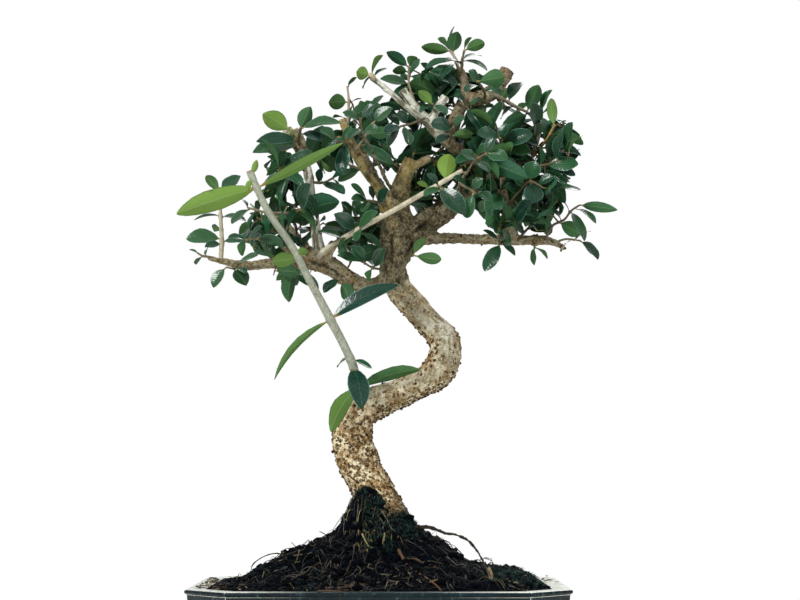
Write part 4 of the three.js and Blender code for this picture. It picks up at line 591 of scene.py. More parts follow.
def tube(centres, radii, sides, lumps=None):
    """Points, quads and end triangles of a closed tube. Lumps scales the radius at each point."""
    steps = np.diff(centres, axis=0)
    steps /= np.maximum(np.linalg.norm(steps, axis=1), 1e-9)[:, None]
    tangents = np.vstack([steps[:1], steps[1:] + steps[:-1], steps[-1:]])
    tangents /= np.maximum(np.linalg.norm(tangents, axis=1), 1e-9)[:, None]
    side = np.array([0.0, 1.0, 0.0]) if abs(tangents[0][1]) < 0.9 else np.array([1.0, 0.0, 0.0])
    angles = 2 * math.pi * np.arange(sides) / sides
    rings = []
    for k, (centre, tangent) in enumerate(zip(centres, tangents)):
        side = unit(side - tangent * float(side @ tangent))
        up = np.cross(tangent, side)
        radius = radii[k] * (np.ones(sides) if lumps is None else lumps[k])
        rings.append(centre + radius[:, None] * (np.outer(np.cos(angles), side) + np.outer(np.sin(angles), up)))
    points = np.vstack(rings + [centres[:1], centres[-1:]])
    around = np.arange(sides)
    end = len(centres) * sides
    triangles = np.vstack([fan(around, end)[:, [1, 0, 2]], fan(around + end - sides, end + 1)])
    return points, ring_quads(len(centres), sides), triangles


def neighbour_mean(values, edges, weights):
    """The mean of each vertex's neighbours' values."""
    total = np.zeros_like(values)
    np.add.at(total, edges[:, 0], values[edges[:, 1]])
    np.add.at(total, edges[:, 1], values[edges[:, 0]])
    return total / weights[:, None]


def vertex_normals(points, quads):
    normals = np.zeros_like(points)
    face = np.cross(points[quads[:, 2]] - points[quads[:, 0]], points[quads[:, 3]] - points[quads[:, 1]])
    for corner in range(4):
        np.add.at(normals, quads[:, corner], face)
    return normals / np.maximum(np.linalg.norm(normals, axis=1), 1e-9)[:, None]


@cache
def blob():
    """A small ball for crumbs and warts: its points and faces."""
    ball = bmesh.new()
    bmesh.ops.create_icosphere(ball, subdivisions=1, radius=1.0)
    points = np.array([vertex.co[:] for vertex in ball.verts])
    faces = np.array([[vertex.index for vertex in face.verts] for face in ball.faces])
    ball.free()
    return points, faces


# ---------------------------------------------------------------- finishes

# The kinds of node that the finishes use most: Blender's name, the sockets that the values go to, and settings.
BLEND = ("ShaderNodeMix", (0, 6, 7), {"data_type": "RGBA", "out": 2})  # share, first and second colour
SPECKS = ("ShaderNodeTexNoise", ("Vector", "Scale", "Detail", "Roughness"), {})
CELLS = ("ShaderNodeTexVoronoi", ("Vector", "Scale"), {})
BUMP = ("ShaderNodeBump", ("Height", "Distance"), {})
LAYER = ("ShaderNodeAttribute", (), {"out": "Color"})
SPAN, PARTS = "ShaderNodeMapRange", "ShaderNodeSeparateColor"
PLUS, TIMES, MINUS, TIMES_PLUS, POWER, SINE, SIZE_OF = (
    ("ShaderNodeMath", range(3), {"operation": operation})
    for operation in ("ADD", "MULTIPLY", "SUBTRACT", "MULTIPLY_ADD", "POWER", "SINE", "ABSOLUTE")
)


def hex_colour(text):
    """A linear colour with alpha from sRGB hex."""
    shares = [int(text[i:i + 2], 16) / 255 for i in (1, 3, 5)]
    return (*[s / 12.92 if s <= 0.04045 else ((s + 0.055) / 1.055) ** 2.4 for s in shares], 1.0)


def per_metre(size):
    """The texture scale for a pattern whose repeat has this size in millimetres."""
    return 1000 / size


def fill(node, values):
    """Fills a node's sockets with values, or links them."""
    for key, value in values.items():
        if isinstance(value, bpy.types.NodeSocket):
            node.id_data.links.new(value, node.inputs[key])
        else:
            node.inputs[key].default_value = value


def put(tree, kind, *values, **changes):
    """Adds a node with its settings, fills or links its sockets in order, and gives its output."""
    name, sockets, settings = (kind, range(len(values)), {}) if isinstance(kind, str) else kind
    settings = settings | changes
    out = settings.pop("out", 0)
    node = tree.nodes.new(name)
    for key, value in settings.items():
        setattr(node, key, value)
    fill(node, dict(zip(sockets, values)))
    return node.outputs[out] if node.outputs else node


def start_finish(name, **shader):
    """A new material whose shader has the given values, what adds nodes to it, and the object's coordinates."""
    finish = bpy.data.materials.new(name)
    finish.use_nodes = True
    add = partial(put, finish.node_tree)
    surface = finish.node_tree.nodes["Principled BSDF"]
    fill(surface, {key.replace("_", " "): value for key, value in shader.items()})
    return finish, add, add("ShaderNodeTexCoord", out="Object")


def close_finish(finish, colour, height, depth, **more):
    """Ends a finish with its colour and a bump of this depth in millimetres, and gives it."""
    bump = put(finish.node_tree, BUMP, height, depth * MM)
    fill(finish.node_tree.nodes["Principled BSDF"], {"Base Color": colour, "Normal": bump, **more})
    return finish


def leaf_finish(name, dark, mid, young, rib, rim, shares, vein_height, **shader):
    """A leaf's face. Its attribute holds place along and across the blade, tint and youth."""
    rib_share, rim_share, bloom_and_highlight_share = shares
    finish, add, place = start_finish(name, **shader)
    layer = add(LAYER, attribute_name="growth")
    youth = layer.node.outputs["Alpha"]
    along = add(PARTS, layer)
    across, tint = along.node.outputs[1], along.node.outputs[2]
    outward = add(SIZE_OF, add(TIMES_PLUS, across, 2.0, -1.0))
    mottle = add(SPECKS, place, per_metre(6.0), 3.0, 0.5)
    drift = add(TIMES_PLUS, mottle, 0.6, -0.3)
    shade = add(SPAN, add(PLUS, tint, drift), 0.1, 1.0)
    colour = add(BLEND, shade, dark, mid)
    colour = add(BLEND, youth, colour, young)
    # Side veins every 1.6 mm, slanting towards the tip.
    slant = add(TIMES, outward, 9.0)
    run = add(MINUS, add(TIMES, along, 60.0), slant)
    wave = add(TIMES_PLUS, add(SINE, run), 0.5, 0.5)
    vein = add(POWER, wave, 6.0)
    rib_line = add(SPAN, outward, 0.03, 0.1, 1.0, 0.0)
    rim_line = add(SPAN, outward, 0.88, 0.98)
    colour = add(BLEND, add(TIMES, vein, 0.05), colour, rib)
    # A waxy bloom lies in speckles on the bluest leaves; the pale blue-grey specks are also painted highlights.
    dust = add(SPECKS, place, per_metre(1.4), 3.0, 0.6)
    blue = add(SPAN, tint, 0.3, 0.0, 0.0, bloom_and_highlight_share)
    bloom_and_highlight = add(TIMES, add(SPAN, dust, 0.5, 0.7), blue)
    colour = add(BLEND, bloom_and_highlight, colour, hex_colour("#5a8580"))
    shown = add(SPAN, youth, 0.0, 0.6, 0.35, 1.0)
    rib_shown = add(TIMES, add(TIMES, rib_line, rib_share), shown)
    colour = add(BLEND, rib_shown, colour, rib)
    # The line along the rim: on the upper face its pale colour is a painted highlight.
    rim_shown = add(TIMES, rim_line, rim_share)
    colour = add(BLEND, rim_shown, colour, rim)
    stalk = add(SPAN, along, 0.05, 0.14, 1.0, 0.0)
    colour = add(BLEND, stalk, colour, hex_colour("#a08a4c"))
    skin = add(SPECKS, place, per_metre(3.0), 2.0)
    grooves = add(TIMES_PLUS, vein, -0.1, add(TIMES, rib_line, -1.0))
    height = add(TIMES_PLUS, skin, 0.7, grooves)
    return close_finish(finish, colour, height, vein_height)


def twig_finish(look):
    """Young olive twig: thin smooth bark with small corky dots; its own tone is in the attribute."""
    finish, add, place = start_finish(
        "olive_twig_thin_bark", Roughness=0.6, IOR=1.45, Specular_IOR_Level=0.3
    )
    tone = add(LAYER, attribute_name="growth")
    streaks = add(SPECKS, place, per_metre(2.2), 5.0, 0.65)
    browner = add(BLEND, 0.5, tone, hex_colour("#4d4130"))
    colour = add(BLEND, add(SPAN, streaks, 0.4, 0.72), tone, browner)
    around = add(CELLS, place, per_metre(3.2))
    dot = add(SPAN, around, 0.12, 0.2, 0.7, 0.0)
    colour = add(BLEND, dot, colour, look.wart_brown)
    return close_finish(finish, colour, add(PLUS, streaks, dot), 0.25)


def bark_finish(look):
    """Olive bark: cream and corky low on the trunk, smooth and grey at the bend, pitted and dark higher up."""
    finish, add, place = start_finish("olive_bark_corky", Roughness=0.8, IOR=1.4, Specular_IOR_Level=0.25)
    layer = add(LAYER, attribute_name="bark")
    corky = layer.node.outputs["Alpha"]
    age = add(PARTS, layer)
    pale, gold = age.node.outputs[1], age.node.outputs[2]
    grown = add(LAYER, attribute_name="grown")
    lump = grown.node.outputs["Alpha"]
    streak = add(PARTS, grown)
    heart, stain = streak.node.outputs[1], streak.node.outputs[2]
    patches = add(SPECKS, place, per_metre(7.0), 5.0, 0.65)
    grit = add(SPECKS, place, per_metre(2.4), 5.0, 0.75)
    fine = add(SPECKS, place, per_metre(1.1), 3.0, 0.7)
    shake = add(SPECKS, place, per_metre(1.8), 2.0, out="Color")
    bent = add("ShaderNodeVectorMath", shake, (0.0018,) * 3, place, operation="MULTIPLY_ADD")
    nudged = add("ShaderNodeVectorMath", shake, (0.0006,) * 3, place, operation="MULTIPLY_ADD")
    cream = add(BLEND, add(SPAN, patches, 0.43, 0.55), look.bark_cream, look.bark_tan)
    # Near-white specks on the cream cork are painted highlights.
    highlight_fleck = add(SPAN, fine, 0.54, 0.64, 0.0, 0.8)
    cream = add(BLEND, highlight_fleck, cream, hex_colour("#f6ebcd"))
    dirt = add(SPAN, grit, 0.49, 0.42, 0.0, 0.75)
    cream = add(BLEND, dirt, cream, look.wart_brown)
    grey = add(BLEND, add(SPAN, patches, 0.44, 0.6), look.bark_grey, look.bark_olive)
    grey = add(BLEND, add(SPAN, grit, 0.47, 0.39, 0.0, 0.6), grey, look.bark_shade)
    grey = add(BLEND, add(SPAN, fine, 0.55, 0.64, 0.0, 0.6), grey, hex_colour("#e6e1cf"))
    grey = add(BLEND, add(SPAN, streak, 0.52, 0.34, 0.0, 0.5), grey, look.bark_shade)
    colour = add(BLEND, pale, cream, grey)

    # Old bark: dark pits and paler crests, with a net of pale cork flakes in places.
    grain = add(SPAN, add(TIMES_PLUS, patches, 0.4, grit), 0.59, 0.81)
    old = add(BLEND, grain, look.bark_old_dark, look.bark_old_pale)
    flakes = add(CELLS, bent, per_metre(4.4), feature="DISTANCE_TO_EDGE")
    line = add(SPAN, flakes, 0.03, 0.13, 1.0, 0.0)
    net = add(TIMES, line, add(SPAN, patches, 0.49, 0.58, 0.0, 0.9))
    old = add(BLEND, net, old, look.bark_net)
    crack = add(TIMES, line, add(SPAN, patches, 0.48, 0.42, 0.0, 0.9))
    old = add(BLEND, crack, old, look.bark_old_dark)
    old = add(BLEND, add(SPAN, fine, 0.47, 0.41, 0.0, 0.8), old, look.bark_old_dark)
    colour = add(BLEND, age, colour, old)

    # Bare grey wood of pruned stubs, grooved lengthwise.
    bare = add(TIMES, add(SPAN, pale, 0.55, 0.85), add(SPAN, corky, 0.3, 0.1))
    groove = add(SPAN, add(TIMES_PLUS, streak, 0.8, add(TIMES, fine, 0.3)), 0.42, 0.62)
    wood = add(BLEND, groove, look.stub_shade, look.stub_pale)
    colour = add(BLEND, bare, colour, wood)
    golden = add(BLEND, add(SPAN, streak, 0.3, 0.6), look.bark_old_dark, look.bark_gold)
    colour = add(BLEND, gold, colour, golden)

    # Cork warts that the mesh raises: a dark foot round a browner crown.
    crown_tone = add(BLEND, add(SPAN, fine, 0.34, 0.54), look.wart_dark, look.wart_brown)
    foot = add(SPAN, lump, 0.42, 0.62, 0.8, 0.0)
    wart_tone = add(BLEND, foot, crown_tone, look.wart_dark)
    on_wart = add(SPAN, add(TIMES_PLUS, fine, 0.3, lump), 0.26, 0.42, 0.0, 0.72)
    colour = add(BLEND, on_wart, colour, wart_tone)
    # Rings of cork round the bark's pores, 2 to 3 mm apart, drawn a little larger than life to show.
    around = add(CELLS, nudged, per_metre(3.3))
    each = add(PARTS, around.node.outputs["Color"])
    spread = add(TIMES_PLUS, each, 0.2, 0.22)
    reach = add(TIMES, spread, add(SPAN, corky, 0.0, 1.0, 0.6, 1.05))
    inward = add(MINUS, reach, around)
    ring = add(SPAN, inward, 0.0, 0.04)
    pore = add(SPAN, inward, 0.08, 0.14, 0.0, 0.9)
    shown = add(TIMES, ring, add(SPAN, corky, 0.05, 0.35, 0.0, 0.9))
    shown = add(TIMES, shown, add(SPAN, each.node.outputs[2], 0.15, 0.25))
    colour = add(BLEND, shown, colour, look.wart_dark)
    middle = add(BLEND, each.node.outputs[1], look.wart_brown, look.bark_tan)
    colour = add(BLEND, add(TIMES, pore, shown), colour, middle)

    sore = add(BLEND, add(SPAN, fine, 0.35, 0.65), look.heart_dark, look.heart_red)
    colour = add(BLEND, heart, colour, sore)
    # Soil stain on the trunk's foot and roots, and painted shade in the clefts, darken the bark.
    soil_stain_and_shade = add(TIMES, stain, add(SPAN, grit, 0.3, 0.62, 1.0, 0.85))
    colour = add(BLEND, soil_stain_and_shade, colour, look.bark_stain_and_shade)
    raised = add(PLUS, ring, add(TIMES, pore, -1.0))
    height = add(TIMES_PLUS, grit, 1.6, add(PLUS, fine, raised))
    height = add(TIMES_PLUS, net, 0.7, height)
    return close_finish(finish, colour, height, 0.8)


def toned_finish(name, attribute, size, shade, **shader):
    """Plant matter whose pieces each have a tone of their own in an attribute, with darker specks."""
    finish, add, place = start_finish(name, **shader)
    tone = add(LAYER, attribute_name=attribute)
    speck = add(SPECKS, place, per_metre(size), 4.0, 0.6)
    darker = add(BLEND, 0.6, tone, shade)
    colour = add(BLEND, add(SPAN, speck, 0.38, 0.68), tone, darker)
    return close_finish(finish, colour, speck, 0.3)


def peat_finish(look):
    """Peat: nearly black plant mould in damp crumbs, dull, with a few dry brown specks."""
    finish, add, place = start_finish("peat_damp_crumbs", Roughness=0.75, IOR=1.4, Specular_IOR_Level=0.06)
    lumps = add(SPECKS, place, per_metre(4.0), 6.0, 0.7)
    crumbs = add(SPECKS, place, per_metre(1.1), 4.0, 0.7)
    colour = add(BLEND, add(SPAN, lumps, 0.4, 0.7), look.peat_dark, look.peat_brown)
    dry = add(SPAN, crumbs, 0.6, 0.75, 0.0, 0.5)
    colour = add(BLEND, dry, colour, hex_colour("#2d3032"))
    return close_finish(finish, colour, add(PLUS, lumps, crumbs), 1.4)


def glaze_finish(look):
    """Stoneware under a poured glaze: glassy, dark blue-green with pale curdled specks, thin on edges; its pale edges
    are also painted glints, and its lip's top is painted pale as glare.
    """
    finish, add, place = start_finish(
        "glazed_stoneware_poured", Roughness=0.2, IOR=1.5, Specular_IOR_Level=0.2
    )
    cloud = add(SPECKS, place, per_metre(22.0), 5.0, 0.6)
    runs = add(("ShaderNodeMapping", ("Vector", "Scale"), {}), place, (1, 1, 0.5))
    curdle = add(SPECKS, runs, per_metre(3.2), 4.0, 0.65)
    pits = add(SPECKS, place, per_metre(1.2), 3.0, 0.6)
    colour = add(BLEND, add(SPAN, cloud, 0.35, 0.7), look.glaze_dark, look.glaze_mid)
    flecks = add(SPAN, curdle, 0.56, 0.74, 0.0, 0.6)
    colour = add(BLEND, flecks, colour, look.glaze_light)
    colour = add(BLEND, add(SPAN, pits, 0.66, 0.74, 0.0, 0.6), colour, hex_colour("#080f11"))
    # Pale where the glaze is thin on the outward edges, which are also painted glints; the lip's top is painted pale as
    # glare.
    wear_and_glare = add(LAYER, out="Fac", attribute_name="wear_and_glare")
    patchy = add(SPECKS, place, per_metre(4.0), 3.0, 0.6)
    edge = add(TIMES, wear_and_glare, add(SPAN, patchy, 0.3, 0.52, 0.45, 1.0))
    # The glaze is thinnest, and the painted glare and glints strongest, towards the pot's two ends.
    along = add(PLUS, add("ShaderNodeSeparateXYZ", place), -POT_X * MM)
    ends = add(SPAN, add(SIZE_OF, along), 0.04, 0.085, 0.05, 1.0)
    edge = add(TIMES, edge, ends)
    colour = add(BLEND, edge, colour, look.glaze_worn_and_glare)
    height = add(TIMES_PLUS, curdle, 0.15, cloud)
    gloss = add(SPAN, cloud, 0.3, 0.8, 0.18, 0.34)
    return close_finish(finish, colour, height, 0.5, Roughness=gloss)


def plain_finish(name, size, first, second, height, **shader):
    """A plain man-made surface with a faint grain between two near tones."""
    finish, add, place = start_finish(name, **shader)
    skin = add(SPECKS, place, per_metre(size), 3.0, 0.6)
    colour = add(BLEND, skin, hex_colour(first), hex_colour(second))
    return close_finish(finish, colour, skin, height)


def make_finishes(look):
    """Every finish of the object, by a maker's name."""
    return {
        # Olive leaf, upper face: dark green under a waxy skin, so it is glossy with pale blue lights; its pale rim line
        # is a painted highlight, and its blue-grey bloom specks are partly painted highlight.
        "leaf_upper": leaf_finish(
            "olive_leaf_waxy_upper", look.leaf_dark, look.leaf_mid, look.leaf_young_backlit, hex_colour("#6c8f5c"),
            hex_colour("#7fa596"), (0.3, 0.45, 0.2), 0.28, Roughness=0.2, IOR=1.45, Specular_IOR_Level=0.45,
        ),
        # Olive leaf, under face: paler and matt, with a raised light rib.
        "leaf_under": leaf_finish(
            "olive_leaf_matt_under", look.under_dark, look.under_mid, look.under_young_backlit, hex_colour("#8fa668"),
            hex_colour("#26402a"), (0.55, 0.55, 0.0), -0.1, Roughness=0.6, IOR=1.4, Specular_IOR_Level=0.25,
        ),
        "twig": twig_finish(look),
        "bark": bark_finish(look),
        # Cork wart: a dark raised breathing pore of the bark, dull and rough.
        "wart": toned_finish("cork_wart", "wart", 0.9, look.wart_dark[:], Roughness=0.85, Specular_IOR_Level=0.2),
        "peat": peat_finish(look),
        # Roots, fibres, moss and litter: dry plant matter, dull, each strand with a tone of its own.
        "strand": toned_finish("dried_plant_strands", "strand", 1.6, hex_colour("#0c0e10"), Roughness=0.7,
                               Specular_IOR_Level=0.15),
        "glaze": glaze_finish(look),
        # Moulded polythene mesh: dark, dull, with a faint moulding grain.
        "mesh": plain_finish("polythene_moulded_mesh", 0.8, "#1c1c1c", "#2b2b2a", 0.05, Roughness=0.55, IOR=1.5),
        # Matt painted board for the stage: pale, with hardly any grain.
        "floor": plain_finish("painted_board_matt", 12.0, "#e9e8e4", "#eeedea", 0.02, Roughness=0.9, IOR=1.45),
    }
# ---------------------------------------------------------------- foliage

BLADE_ROWS, BLADE_COLUMNS = 9, 7
LEAF_EDGE_ANGLE = 55
STALK_LENGTH, STALK_HALF = 1.9, 0.5
# Leaves that stand on a longer stalk: the stalk's share of the leaf's length.
LONG_STALKS = {("left_top", 0): 0.34}
# Leaves that bow to one side, as a share of their length, and the share of their full width that shows.
LEAF_BOWS = {("shoot_front", 3): (-0.1, 0.66), ("shoot_front", 1): (-0.03, 0.78)}
TWIG_SIDES = 10
YOUNG_SHOOTS = ("shoot_front", "shoot_tan")
TWIG_TONE = "#7a7056"
SPRIG_TONE = "#5f5a3e"
SPRIG_LEAF_WIDTH = 0.92  # of a spray leaf's
PAIR_LEAF_WIDTH = 0.86  # of the solids'
TWIG_WIDTH = 0.62  # of the solids', but for the twigs that are seen whole
WHOLE_TWIGS = {
    "shoot_front": 1.0, "shoot_tan": 0.86, "left_upright": 1.0, "left_pale_twig": 1.0, "cut_twig": 0.9, "stub_tip": 1.0
}
TWIG_TONES = {
    "shoot_front": "#b3b9a4", "shoot_tan": "#ddd4b8", "left_upright": "#c2b79a", "left_pale_twig": "#c6bda4",
    "left_mid": "#a89c84", "golden_right": "#a3947a", "golden_tip": "#a8967a", "cut_twig": "#8f867a",
    "yellow_twig": "#b9985f", "top_left": "#94846a", "twig_right": "#a59a80", "right_tip": "#756a5a",
    "stub_tip": "#c3b591", "top_crown": "#aba089", "top_bud": "#aba089",
}
CUT_TONE = "#a98a78"


def blade_shares(along, foot, tip):
    """A blade's half width along it as a share of its widest: narrow at the foot, rounder at the tip."""
    peak = (foot / (foot + tip)) ** foot * (tip / (foot + tip)) ** tip
    return along**foot * (1 - along) ** tip / peak


def add_leaf(shell, leaf, tint, youth, seed, thickness, rows=BLADE_ROWS, columns=BLADE_COLUMNS):
    """A leaf with a stalk, a folded, arched and slightly twisted blade, and two skins."""
    random = seeded_random(seed)
    length = leaf["length"]
    stalk = leaf.get("stalk") or min(0.14, STALK_LENGTH / length)
    long = length * (1 - stalk) >= LONG_LEAF - STALK_LENGTH
    blade = 0.5 - 0.5 * np.cos(np.pi * np.arange(1, rows + 1) / rows)
    blade[-1] = 0.997
    along = np.concatenate(([0, stalk * 0.6, stalk], stalk + (1 - stalk) * blade))
    foot_least, foot_more, tip_least, tip_more = (0.72, 0.2, 0.72, 0.1) if long else (0.6, 0.3, 0.55, 0.25)
    foot, tip = foot_least + foot_more * random(), tip_least + tip_more * random()
    shares = blade_shares(blade, foot, tip)
    bow, wide = leaf.get("bow") or (0.0, 1.0)
    half = np.concatenate(([STALK_HALF] * 3, np.maximum(shares * wide * leaf["width"] / 2, 0.22)))
    across = np.linspace(-1, 1, columns)
    fold, cup = 0.05 + 0.26 * random(), 0.22 * (random() - 0.35)
    wave, phase = 0.14 * random(), TURN * random()
    sway = (0.09 * (random() - 0.5) + bow) * length * 4 * along * (1 - along)
    rise = 4 * LEAF_ARCH * length * along * (1 - along) - 0.09 * random() * length * along**3
    turn = 0.7 * (random() - 0.5) * (along - 0.4)
    side, normal = leaf["side"], leaf["normal"]
    broad = np.outer(np.cos(turn), side) + np.outer(np.sin(turn), normal)
    lift = np.outer(np.cos(turn), normal) - np.outer(np.sin(turn), side)
    spine = leaf["base"] + np.outer(along * length, leaf["axis"]) + np.outer(sway, side) + np.outer(rise, normal)
    lifted = fold * np.abs(across) + cup * across**2
    ripple = wave * np.sin(10 * along + phase)[:, None] * across**2
    heights = half[:, None] * (lifted[None] + ripple) * (along > stalk)[:, None]
    upper = (
        spine[:, None, :] + broad[:, None, :] * (half[:, None] * across)[..., None]
        + lift[:, None, :] * heights[..., None]
    )
    depth = np.where(along > stalk, thickness, 0.8)[:, None] * (1 - 0.6 * across**2)[None]
    lower = upper - lift[:, None, :] * depth[..., None]
    count = len(along)
    grid = np.arange(count * columns).reshape(count, columns)
    quads = np.stack([grid[:-1, :-1], grid[:-1, 1:], grid[1:, 1:], grid[1:, :-1]], -1).reshape(-1, 4)
    under = quads[:, ::-1] + count * columns
    loop = np.concatenate([grid[0, :], grid[1:, -1], grid[-1, -2::-1], grid[-2:0:-1, 0]])
    onward = np.roll(loop, -1)
    rim = np.stack([onward, loop, loop + count * columns, onward + count * columns], 1)
    finish = np.concatenate([np.zeros(len(quads)), np.ones(len(under) + len(rim))])
    colour = np.zeros((2 * count * columns, 4))
    colour[:, 0] = np.tile(np.repeat(along, columns), 2)
    colour[:, 1] = np.tile(np.tile((across + 1) / 2, count), 2)
    colour[:, 2], colour[:, 3] = tint, youth
    points = np.concatenate([upper.reshape(-1, 3), lower.reshape(-1, 3)])
    shell.add(points, np.concatenate([quads, under, rim]), colour=colour, quad_finish=finish)


def add_twig(shell, route, leaves, tone, seed, cut_tone=None):
    """A twig with a swelling at each leaf. With a tone for its cut, it is smoother and ends in a cut."""
    curve = smooth_route(route, 1.5)
    random = seeded_random(seed)
    lengths = lengths_to(curve)
    radii = curve[:, 3]
    for leaf in leaves:
        gaps = np.linalg.norm(curve[:, :3] - leaf["base"], axis=1)
        radii = radii * (1 + (0.1 if cut_tone else 0.22) * np.exp(-((gaps / 1.4) ** 2)))
    drift = np.array([noise.noise(Vector((seed * 3.1, k * 0.35, 0))) for k in range(len(curve))])
    radii = radii * (1 + (0.03 if cut_tone else 0.12) * drift)
    lumps = np.array([random() for _ in range(len(curve) * TWIG_SIDES)]).reshape(-1, TWIG_SIDES)
    lumps = 1 + (0.02 if cut_tone else 0.06) * (lumps - 0.5)
    points, quads, triangles = tube(curve[:, :3], radii, TWIG_SIDES, lumps)
    shade = np.repeat(0.92 + 0.16 * drift, TWIG_SIDES)
    colour = np.ones((len(points), 4))
    colour[:-2, :3] = np.array(tone[:3]) * shade[:, None]
    colour[-2:, :3] = tone[:3]
    if cut_tone is not None:
        near_end = np.repeat(lengths > lengths[-1] - 1.2, TWIG_SIDES)
        colour[:-2, :3][near_end] = cut_tone[:3]
        colour[-1, :3] = np.array(cut_tone[:3]) * 0.5
    shell.add(points, quads, triangles, colour, finish=2)


@cache
def laid_out():
    """All sprays' leaves and all the wood, worked out once."""
    wood = limb_wood()
    routes = {name: rooted_route(twig) for name, (twig, _) in SPRAYS.items()}
    for name, route in routes.items():
        wood.add(route, name)
    return {"wood": wood, "routes": routes, "leaves": place_leaves(SPRAYS, wood)}


def leafy_piece(name, shell, finishes, stands_for=()):
    """A piece of leaves and twigs, with a sharp edge round each leaf."""
    mesh = shell.mesh(name, "growth")
    mesh.set_sharp_from_angle(angle=math.radians(LEAF_EDGE_ANGLE))
    piece(name, mesh, [finishes[part] for part in ("leaf_upper", "leaf_under", "twig")], stands_for)


def make_spray(name, number, finishes, thickness):
    """One spray: its twig and its leaves, in place of the plain solid."""
    laid = laid_out()
    own = [leaf for leaf in laid["leaves"] if leaf["owner"] == name]
    shell = Shell()
    tone = hex_colour(TWIG_TONES.get(name, TWIG_TONE))
    cut = hex_colour(CUT_TONE) if name in YOUNG_SHOOTS + ("cut_twig",) else None
    route = np.array(laid["routes"][name], float)
    route[:, 3] *= WHOLE_TWIGS.get(name, TWIG_WIDTH)
    add_twig(shell, route, own, tone, number, cut)
    random = seeded_random(900 + number)
    for k, leaf in enumerate(own):
        youth = leaf.get("young", 0.12 * random())
        tint = random() if youth >= 0 else 0.2
        leaf["stalk"] = LONG_STALKS.get((name, leaf.get("number")))
        leaf["bow"] = LEAF_BOWS.get((name, leaf.get("number")))
        leaf["width"] *= 1.0 if "number" in leaf else PAIR_LEAF_WIDTH
        add_leaf(shell, leaf, tint, max(youth, 0.0), number * 40 + k, thickness)
    leafy_piece("leaves_" + name, shell, finishes, ["spray_" + name])


# Where the crown is thick enough to hide what is behind it: the number of sprigs, the y that they
# start and end at, and an outline of x, z.
THICKETS = {
    "crown_left": (24, 2, 36, (
        (-38, 383), (-28, 393), (-13, 394), (-1, 398), (3, 391), (4, 380), (-5, 376), (-9, 371), (-9,
        359), (-3, 352), (-8, 347), (-17, 351), (-25, 357), (-33, 363), (-38, 373),
    )),
    "crown_top": (40, 4, 38, (
        (-1, 406), (8, 412), (20, 415), (34, 417), (46, 414), (58, 408), (65, 400), (66, 390), (64,
        381), (59, 372), (50, 363), (33, 352), (20, 351), (8, 357), (5, 367), (8, 375), (3, 383), (-1,
        392),
    )),
    "crown_right": (58, -34, 34, (
        (44, 369), (57, 373), (69, 368), (77, 380), (86, 383), (96, 379), (107, 372), (116, 363), (117,
        351), (115, 340), (109, 333), (95, 331), (79, 329), (64, 332), (51, 335), (40, 341), (33, 352),
    )),
    "crown_middle": (26, -8, 34, (
        (-3, 352), (8, 357), (20, 352), (34, 353), (45, 344), (55, 333), (51, 325), (41, 317), (33,
        321), (26, 329), (16, 332), (5, 336), (-1, 343),
    )),
    "lower_right": (22, -30, 32, (
        (50, 335), (64, 333), (79, 331), (95, 332), (107, 328), (109, 319), (105, 307), (95, 300), (79,
        300), (68, 299), (60, 308), (54, 320),
    )),
    "left_cluster": (26, -34, 34, (
        (-91, 345), (-76, 348), (-65, 344), (-62, 327), (-51, 323), (-49, 312), (-52, 297), (-56, 290),
        (-72, 291), (-90, 292), (-102, 295), (-101, 307), (-95, 321), (-87, 327), (-91, 335),
    )),
    "left_top": (9, 0, 34, (
        (-95, 357), (-87, 364), (-71, 360), (-59, 372), (-41, 376), (-36, 367), (-40, 352), (-46, 341),
        (-63, 343), (-86, 345),
    )),
    "crotch": (20, -4, 34, (
        (-41, 320), (-32, 329), (-18, 327), (-9, 320), (-8, 304), (-10, 291), (-16, 283), (-25, 286),
        (-33, 287), (-39, 293), (-43, 307),
    )),
    "left_low": (7, -30, 30, (
        (-85, 288), (-66, 291), (-54, 283), (-65, 268), (-77, 263), (-86, 276),
    )),
    "fork_right": (12, 4, 34, (
        (3, 337), (16, 333), (27, 329), (34, 321), (32, 314), (21, 311), (11, 313), (5, 324),
    )),
}
SPRIG_REACH = (8, 46)
SPRIG_PAIRS = 3
SPRIG_BLADE = (7, 5)  # rows and columns of a sprig's leaf
SPRIG_TRIES, SPRIG_LEAF_TRIES = 40, 6
SPRIG_ROOM = {"leaf_gap": 0.6, "own_gap": 0.5, "wood_gap": 0.2}


def inside(x, z, outline):
    """Whether a place lies inside an outline."""
    found = False
    for (x0, z0), (x1, z1) in zip(outline, outline[1:] + outline[:1]):
        if (z0 > z) != (z1 > z) and x < x0 + (x1 - x0) * (z - z0) / (z1 - z0):
            found = not found
    return found


def in_crown(point):
    return any(inside(point[0], point[2], outline) for _, _, _, outline in THICKETS.values())


def sprig_route(outline, near, far, wood, random):
    """The route of a new sprig, from the nearest wood to a place inside an outline."""
    xs, zs = zip(*outline)
    for _ in range(SPRIG_TRIES):
        x = min(xs) + (max(xs) - min(xs)) * random()
        z = min(zs) + (max(zs) - min(zs)) * random()
        y = near + (far - near) * random()
        if not inside(x, z, outline):
            continue
        end = np.array([x, y, z])
        stretch, root = wood.nearest(end)
        reach = float(np.linalg.norm(end - root))
        if wood.owner[stretch] in YOUNG_SHOOTS or not SPRIG_REACH[0] < reach < SPRIG_REACH[1]:
            continue
        bend = 0.12 * reach * np.array([random() - 0.5, random() - 0.5, random()])
        middle = root + (end - root) * 0.5 + bend
        return [[*root, 0.65], [*middle, 0.5], [*end, 0.35]]
    return None


